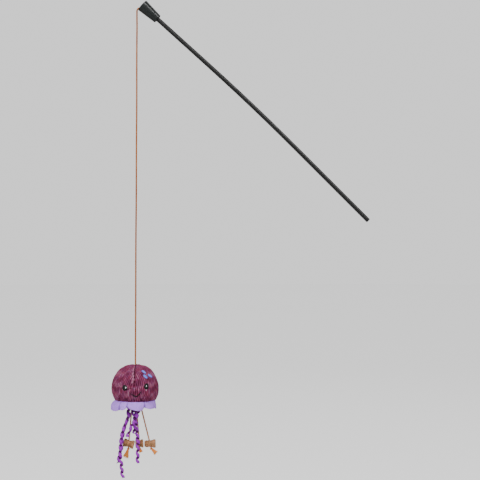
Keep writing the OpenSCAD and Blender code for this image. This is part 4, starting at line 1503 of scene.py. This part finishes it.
@dataclass
class Underside(Assembly):
    """The panel that closes the head and the felt skirt sewn round it."""

    # The panel: its place under the head, its size and its ribs
    head_height: float = 57.0 * MM
    panel_r: float = 29.9 * MM
    panel_wall: float = 1.5 * MM
    rib_pitch: float = 4.1 * MM
    rib_depth: float = 0.35 * MM
    # The skirt: its seam, its drop, how it flares, leans and swells, its wall and its unevenness
    seat_gap: float = 0.1 * MM
    seam_r: float = 30.65 * MM
    drop: float = 18.0 * MM
    flare: float = 3.9 * MM
    lean: float = 3.3 * MM
    puff: float = 3.4 * MM
    wall: float = 1.6 * MM
    ripple: float = 0.5 * MM
    hem_ripple: float = 0.25 * MM
    hem_power: float = 0.7
    flare_power: float = 2.5
    swell_power: float = 0.45
    swell_middle: float = 0.55
    # Painted shade in the creases and under the seam, and the width of a crease as a share of its lobe
    crease_shade: float = 0.85
    seam_shade: float = 0.25
    crease_w: float = 0.05
    cols: int = 560
    rows: int = 34
    # Lobes: start angle right of the front in degrees, drop at that crease, drop of the lobe, and where
    # along the lobe its lowest point lies
    lobes: tuple[tuple[float, float, float, float], ...] = (
        (-100, 0.36, 0.82, 0.76), (-39, 0.62, 0.67, 0.5), (-18, 0.34, 0.73, 0.68), (30, 0.45, 0.65, 0.45),
        (86, 0.52, 0.82, 0.5), (132, 0.6, 0.82, 0.5), (176, 0.6, 0.85, 0.45), (218, 0.56, 0.8, 0.5),
        (260, 0.36, 0.82, 0.76),
    )

    def hem(self, angle: Array) -> tuple[Array, Array]:
        """Drop share of the hem at an angle, and the place in its lobe from 0 to 1."""
        table = np.array(self.lobes)
        first = -table[0, 0]
        right = (np.degrees(angle) + first) % 360 - first
        k = np.clip(np.searchsorted(table[:, 0], right, side="right") - 1, 0, len(table) - 2)
        here, following = table[k], table[k + 1]
        s = (right - here[:, 0]) / (following[:, 0] - here[:, 0])
        peak = here[:, 3]
        before = s < peak
        w = np.where(before, s / peak, (1 - s) / (1 - peak))
        crease = np.where(before, here[:, 1], following[:, 1])
        return crease + (here[:, 2] - crease) * np.sin(math.pi / 2 * w) ** self.hem_power, s

    def skirt(self) -> tuple[Skin, tuple[float, float]]:
        """The felt skirt.

        At share t down it, the radius is the seam's plus the flare times 1 - (1 - t)^2.5 plus a swell
        that goes with sin(pi s)^0.45 across each lobe, so that the lobes meet in sharp creases.

        Returns:
            The skin, in the toy's own frame, with the painted shade of the folds as a value, and the width
            and
            length of the flat strip: the mean way down the felt and the way round its hem.
        """
        angle = TURN * np.arange(self.cols) / self.cols
        hem, s = self.hem(angle)
        swell = np.sin(math.pi * s) ** self.swell_power - self.swell_middle
        t = np.linspace(0, 1, self.rows)[:, None]
        flare = self.flare - self.lean * np.sin(angle)
        ripple = self.ripple * waves(1.2 * t, angle, 31, (0.3, 1.0), 16)
        out = flare * (1 - (1 - t) ** self.flare_power)
        mid = self.seam_r + out + self.puff * swell * t**0.8 + ripple * t
        uneven = self.hem_ripple * waves(1.0 * t, angle, 33, (0.3, 1), 40) * t
        z = -self.head_height - self.seat_gap - t * hem * self.drop + uneven
        edge = np.linspace(0, math.pi, 7)[1:-1, None]
        half = self.wall / 2
        hem_r, hem_z = mid[-1] + half * np.cos(edge), z[-1] - half * np.sin(edge) * 0.8
        top_r, top_z = mid[0] + half * np.cos(edge)[::-1], z[0] + self.seat_gap * np.sin(edge)
        radius = np.concatenate([mid + half, hem_r, (mid - half)[::-1], top_r])
        height = np.concatenate([z, hem_z, z[::-1], top_z])
        near = np.minimum(s, 1 - s)
        # Painted shade: darker in the creases between lobes, right under the seam and on the inner face.
        crease = self.crease_shade * np.exp(-((near / self.crease_w) ** 2)) * (0.45 + 0.55 * t)
        fold = crease + self.seam_shade * np.exp(-t / 0.06)
        at_hem, at_top = np.tile(fold[-1], (5, 1)), np.tile(fold[0], (5, 1))
        folds = np.clip(np.concatenate([fold, at_hem, 0.35 + 0.6 * fold[::-1], at_top]), 0, 0.9)
        grid = np.stack([radius * np.sin(angle), -radius * np.cos(angle), height], -1)
        deep = np.hypot(np.diff(mid, axis=0), np.diff(z, axis=0)).sum(0).mean()
        hem_line = mid[-1, :, None] * np.stack([np.sin(angle), -np.cos(angle)], -1)
        long = np.linalg.norm(np.roll(hem_line, -1, 0) - hem_line, axis=1).sum()
        return lattice(grid, ring_rows=True, values={"fold": folds}), (float(deep), float(long))

    def panel(self) -> Skin:
        """The panel: a disc of the same ribbed plush, ribs along Y, with a rolled edge.

        Height of the underside is d sqrt|cos(pi x / pitch)|, faded out at the edge.

        Returns:
            The skin, in the toy's own frame.
        """
        p = np.concatenate([np.linspace(0.005, 1, 80), np.linspace(0.99, 0.005, 8)])[:, None]
        under = (np.arange(88) < 80)[:, None]
        a = (TURN * np.arange(240) / 240)[None]
        x, y = self.panel_r * p * np.cos(a), self.panel_r * p * np.sin(a)
        crown = np.sqrt(np.abs(np.cos(math.pi * x / self.rib_pitch)))
        low = -self.head_height + self.rib_depth * (1 - crown * ease((1 - p) / 0.06))
        z = np.where(under, low, -self.head_height + self.panel_wall)
        plain = {key: 0 * x for key in ("pale", "tone", "seam")}
        return lattice(np.stack([x, y, z], -1), values={"rib": np.where(under, crown, 0.3), **plain})

    def build(self) -> None:
        """Makes the panel and the skirt."""
        self.sew(self.panel(), "head_base", PLUSH_FINISH, "corduroy", "base_panel")
        skirt, flat = self.skirt()
        piece = self.sew(skirt, "skirt", FELT_FINISH, "felt", "felt_skirt")


@dataclass
class Ribbon(Assembly):
    """One curled ribbon under the head."""

    name: str
    drop: float
    leans: tuple[float, ...]
    seed: int
    curl_r: float = 2.85 * MM
    pitch: float = 10.7 * MM
    width: float = 5.4 * MM
    tab_w: float = 4.8 * MM
    wall: float = 0.5 * MM
    per_turn: int = 44
    # Looseness of the winding in radians and of its radius as a share, and the hollow across the strip
    looseness: float = 0.55
    uneven: float = 0.08
    cup: float = 0.6 * MM
    stand_off: float = 0.15 * MM
    # The cut tip: share of the width that is cut away and the length of the cut
    tip_cut: float = 0.8
    tip_run: float = 6.0 * MM
    # The sewn root: its shift to the left, its gap to the panel and how it rises over the first run
    root_shift: float = 2.1 * MM
    root_gap: float = 0.5 * MM
    root_rise: float = 0.35 * MM
    root_run: float = 2.0 * MM

    def build(self) -> None:
        """Makes the ribbon: a strip wound on a cylinder that leans with the ribbon's own curve.

        At depth z the strip has turned by a(z), which grows slowly below the root and then by one turn a
        pitch. A point across the strip at w lies at angle a(z) - w sin(k)/r and at depth z + w cos(k), with
        k the slant of the strip, so its edges run along the winding.
        """
        root = self.places.pivots["ribbon_" + self.name + "_sway"] - self.root_shift * RIGHT
        rate = TURN / self.pitch
        length = self.drop - self.width / 2
        tab = self.width
        z = np.linspace(0, length, int(length / self.pitch * self.per_turn))[:, None]
        loose = self.looseness * waves(z / length, 0.0, self.seed, (0.6, 3.5), 0, 10) * ease(z / tab)
        turned = np.where(z < tab, rate * z**2 / (2 * tab), rate * (z - tab / 2)) + loose
        slant = np.arctan2(1.0, self.curl_r * rate * np.minimum(1, z / tab))
        across = np.concatenate([np.linspace(-1, 1, 15), np.linspace(1, -1, 15)])[None]
        face = np.concatenate([np.ones(15), -np.ones(15)])[None]
        cut = self.tip_cut * ease((z - (length - self.tip_run)) / self.tip_run)
        span = -1 + (across + 1) * (1 - cut)
        along = span * (self.tab_w + (self.width - self.tab_w) * ease(z / tab)) / 2
        edge = np.sqrt(np.clip(1 - np.abs(across) ** 14, 0.02, 1))
        swell = 1 + self.uneven * waves(z / length, 0.0, self.seed + 50, (1, 5), 0, 10)
        r = self.curl_r * swell + face * self.wall / 2 * edge + self.stand_off - self.cup * span**2
        angle = turned - along * np.sin(slant) / self.curl_r
        depth = z + along * np.cos(slant)
        share = np.clip(depth / self.drop, 0, 1)
        x = through(np.array(self.leans), share.ravel()).reshape(share.shape) * self.drop
        height = self.root_rise * ease(1 - z / self.root_run) - depth - self.root_gap
        grid = np.stack([x + r * np.cos(angle), r * np.sin(angle), height], -1) + root
        # The inner face's share of the dark colour: painted shade inside the curl.
        inside = np.where(face < 0, 0.85, 0.0) + 0 * r
        skin = lattice(grid, values={"across": np.clip((span + 1) / 2, 0, 1) + 0 * r, "inside": inside})
        name = "ribbon_" + self.name
        self.put(skin, "curl_" + self.name, name, RIBBON_FINISH, "ribbon", name)


# Each ribbon's drop, its sideways lean at equal steps down it as shares of the drop, and its seed
RIBBONS: dict[str, tuple[float, tuple[float, ...], int]] = {
    "far_left": (106.7 * MM, (0, -0.003, -0.009, -0.06, -0.093, -0.114, -0.124, -0.154, -0.165), 11),
    "left": (
        126.7 * MM, (0, -0.004, -0.006, -0.045, -0.078, -0.096, -0.104, -0.106, -0.09, -0.082, -0.063), 12,
    ),
    "front": (60.5 * MM, (0, -0.011, -0.05, -0.138, -0.215, -0.29, -0.352), 13),
    "short": (57.9 * MM, (0, -0.003, -0.01, -0.033, -0.053, -0.064), 14),
    "right": (104.6 * MM, (0, 0.009, 0.038, 0.07, 0.083, 0.092, 0.092, 0.088, 0.092), 15),
}


@dataclass
class Stick(Assembly):
    """One wood stick on its cord, with the knot and the frayed end under it."""

    side: Side
    turn: float
    length: float
    fray_len: float
    fray_turn: float
    seed: int
    left_share: float = 1.0
    end_r: float = 6.9 * MM
    waist_r: float = 5.4 * MM
    cord_r: float = 1.2 * MM
    cord_lay: float = 4.6 * MM
    cord_gap: float = 0.1 * MM
    knot_r: float = 2.4 * MM
    knot_share: float = 0.45
    wrinkle: float = 0.28 * MM
    dish: float = 0.5 * MM
    end_rows: int = 14
    dip: float = 0.9 * MM
    dip_r: float = 1.7 * MM
    # Fibres of the frayed end: how many, their radius, and how far they start from the middle, spread
    # and bend, as shares of the cord's radius and of the end's length
    fibres: int = 96
    fibre_r: tuple[float, float] = (0.26 * MM, 0.42 * MM)
    root_share: float = 1.7
    spread: float = 0.3
    bend: float = 0.06
    # Outline from one end to the other: shares of the length, of the end's and of the waist's radius
    outline: tuple[tuple[float, float, float], ...] = (
        (0, 0.84, 0), (0.05, 0.95, 0), (0.14, 1, 0), (0.26, 0.55, 0.42), (0.42, 0.1, 0.9), (0.56, 0, 1),
        (0.7, 0.35, 0.64), (0.84, 0.9, 0.08), (0.94, 0.97, 0), (1, 0.86, 0),
    )

    def wood(self, point: Array, line: Array) -> Skin:
        """The stick: its outline turned about its length, with wrinkles round it and dished cut ends.

        Args:
            point: The stick's middle, which the cord goes through.
            line: Direction of the cord; the wood dips round it.

        Returns:
            The skin, with wrinkle height, the cut ends and the ring radius as values.
        """
        table = np.array(self.outline)
        u = np.linspace(0, 1, 110)
        at = through(table, np.interp(u, table[:, 0], np.linspace(0, 1, len(table))))
        slimmer = self.left_share + (1 - self.left_share) * ease(u / 0.55)
        r = (at[:, 1] * self.end_r * slimmer + at[:, 2] * self.waist_r)[:, None]
        v = (TURN * np.arange(96) / 96)[None]
        u = u[:, None]
        wrinkle = waves(u, v, self.seed, (9, 22), 2, 30) + 0.6 * waves(u, v, self.seed + 9, (2, 9), 7, 20)
        uneven = 1 + 0.035 * waves(0.5 * u, v, self.seed + 4, (0.2, 1.5), 3)
        side = r * uneven + self.wrinkle * wrinkle
        x = (u - 0.5) * self.length + 0 * v
        ends = self.end_rows
        shrink = np.linspace(0.93, 0.02, ends)[:, None]
        dish = self.dish * (1 - shrink**2)
        xs = np.concatenate([(x[:1] + dish)[::-1], x, x[-1:] - dish])
        rs = np.concatenate([(side[:1] * shrink)[::-1], side, side[-1:] * shrink])
        cut = np.zeros(xs.shape)
        cut[:ends] = cut[-ends:] = 1
        crown = np.full(xs.shape, 0.7)
        # Wrinkle height, which the bark darkens in the hollows as painted shade.
        crown[ends:-ends] = 0.5 + 0.5 * wrinkle
        c, s = math.cos(self.turn), math.sin(self.turn)
        deep, tall = rs * np.sin(v), rs * np.cos(v)
        grid = np.stack([c * xs + s * tall, deep, c * tall - s * xs], -1) + point
        off = grid - point
        away = np.linalg.norm(off - (off @ line)[..., None] * line, axis=-1)
        dip = self.dip * np.exp(-((away / self.dip_r) ** 3))
        grid = grid - (dip * np.sign(off @ line))[..., None] * line
        return lattice(grid, values={"crown": crown, "cut": cut, "ring": rs / self.end_r})

    def fray(self, start: Array, line: Array) -> Skin:
        """The frayed end: fine fibres from the knot that spread and bend as they fall.

        A fibre at share s lies at L s along the end's direction, and at spread s^2.2 out from it.

        Args:
            start: Middle of the knot.
            line: Direction of the end.

        Returns:
            One skin of all the fibres, each with its tone.
        """
        draws = np.random.default_rng(self.seed + 80)
        side = unit(np.cross(line, AWAY))
        back = np.cross(side, line)
        s = np.linspace(0, 1, 12)[:, None]
        skins = []
        for _ in range(self.fibres):
            bearing = draws.uniform(0, TURN)
            reach = self.fray_len * draws.uniform(0.8, 1.02)
            spread = self.fray_len * draws.uniform(0.0, self.spread)
            out = side * math.cos(bearing) + back * math.sin(bearing)
            curl = side * math.sin(bearing * 3) + back * math.cos(bearing * 2)
            root = self.root_share * self.cord_r * math.sqrt(draws.uniform(0, 1))
            path = start + line * (0.5 * self.knot_r + reach * s)
            path = path + out * (root * ease(0.4 + 3 * s) + spread * s**2.2)
            path = path + curl * self.bend * self.fray_len * np.sin(3 * s) * s
            thick = draws.uniform(*self.fibre_r)
            fibre = thread(path, thick, across=back + 0.3 * side, sides=5, taper=0.7)
            fibre.values["tone"] = np.full(len(fibre.points), draws.uniform(0, 1))
            skins.append(fibre)
        return merged(skins)

    def build(self) -> None:
        """Makes the short cord, the wood, the knot and the frayed end."""
        name = self.side.value
        body = "stick_" + name
        root = self.places.pivots[body + "_swing"]
        knot_at, _ = middle("stick_knot_" + name)
        line = unit(knot_at - root)
        rope = Cord(self.places, radius=self.cord_r, lay=self.cord_lay)
        path = evenly(np.stack([root + self.cord_gap * line, (root + knot_at) / 2, knot_at]), rope.step)
        tied = Knots(self.places).knot(knot_at, self.knot_r, self.knot_share * self.knot_r, self.seed)
        fall = math.atan2(line[0], -line[2]) - math.radians(self.fray_turn)
        frayed = self.fray(knot_at, math.sin(fall) * RIGHT - math.cos(fall) * UP)
        wood = self.wood(middle(body)[0], line)
        knot_node = "stick_knot_" + name
        cord, *threaded = (
            self.put(skin, piece, body, finish, slot, node)
            for skin, piece, finish, slot, node in (
                (rope.rope(path, 0.0), "short_cord_" + name, SHORT_CORD_FINISH, "cord", "stick_cord_" + name),
                (wood, "twig_" + name, WOOD_FINISH, "wood", body),
                (tied, knot_node + "_tied", KNOT_FINISH, "frayed_cord", knot_node),
                (frayed, "frayed_end_" + name, FRAY_FINISH, "frayed_cord", "tassel_" + name),
            )
        )


STICKS = (
    {"side": Side.LEFT, "turn": math.radians(15), "length": 17.4 * MM, "fray_len": 14 * MM,
     "fray_turn": 14, "seed": 41},
    {"side": Side.MIDDLE, "turn": math.radians(-4), "length": 12.4 * MM, "fray_len": 5 * MM,
     "fray_turn": -16, "seed": 42},
    {"side": Side.RIGHT, "turn": math.radians(-2), "length": 17.8 * MM, "fray_len": 10 * MM,
     "fray_turn": -34, "seed": 43, "left_share": 0.76},
)


@dataclass
class Wand(Assembly):
    """The rod and its end cap, which keep their CAD meshes."""

    def build(self, nodes: dict[str, Piece]) -> None:
        """Gives the rod and the cap their finishes."""
        for name, finish in (("rod", ROD_FINISH), ("end_cap", CAP_FINISH)):
            node = nodes[name]
            node.data.materials.clear()
            node.data.materials.append(finish.material())
            LOG.info("%s: %s", name, finish.name)


def corners(box: tuple[Vector, Vector]) -> list[list[float]]:
    """A box's two corners as plain lists."""
    return [[float(value) for value in corner] for corner in box]


def main() -> None:
    """Builds the studio, the cord, the wand and the toy."""
    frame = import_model()
    places = Places.read(frame["joints"])
    Studio().build()
    Cord(places).build()
    Wand(places).build(frame["nodes"])
    Knots(places).build()
    Head(places).build()
    Underside(places).build()
    for name, (drop, leans, seed) in RIBBONS.items():
        Ribbon(places, name, drop, leans, seed).build()
    for stick in STICKS:
        Stick(places, **stick).build()


if __name__ == "__main__":
    logging.basicConfig(level=logging.INFO, format="%(message)s")
    main()
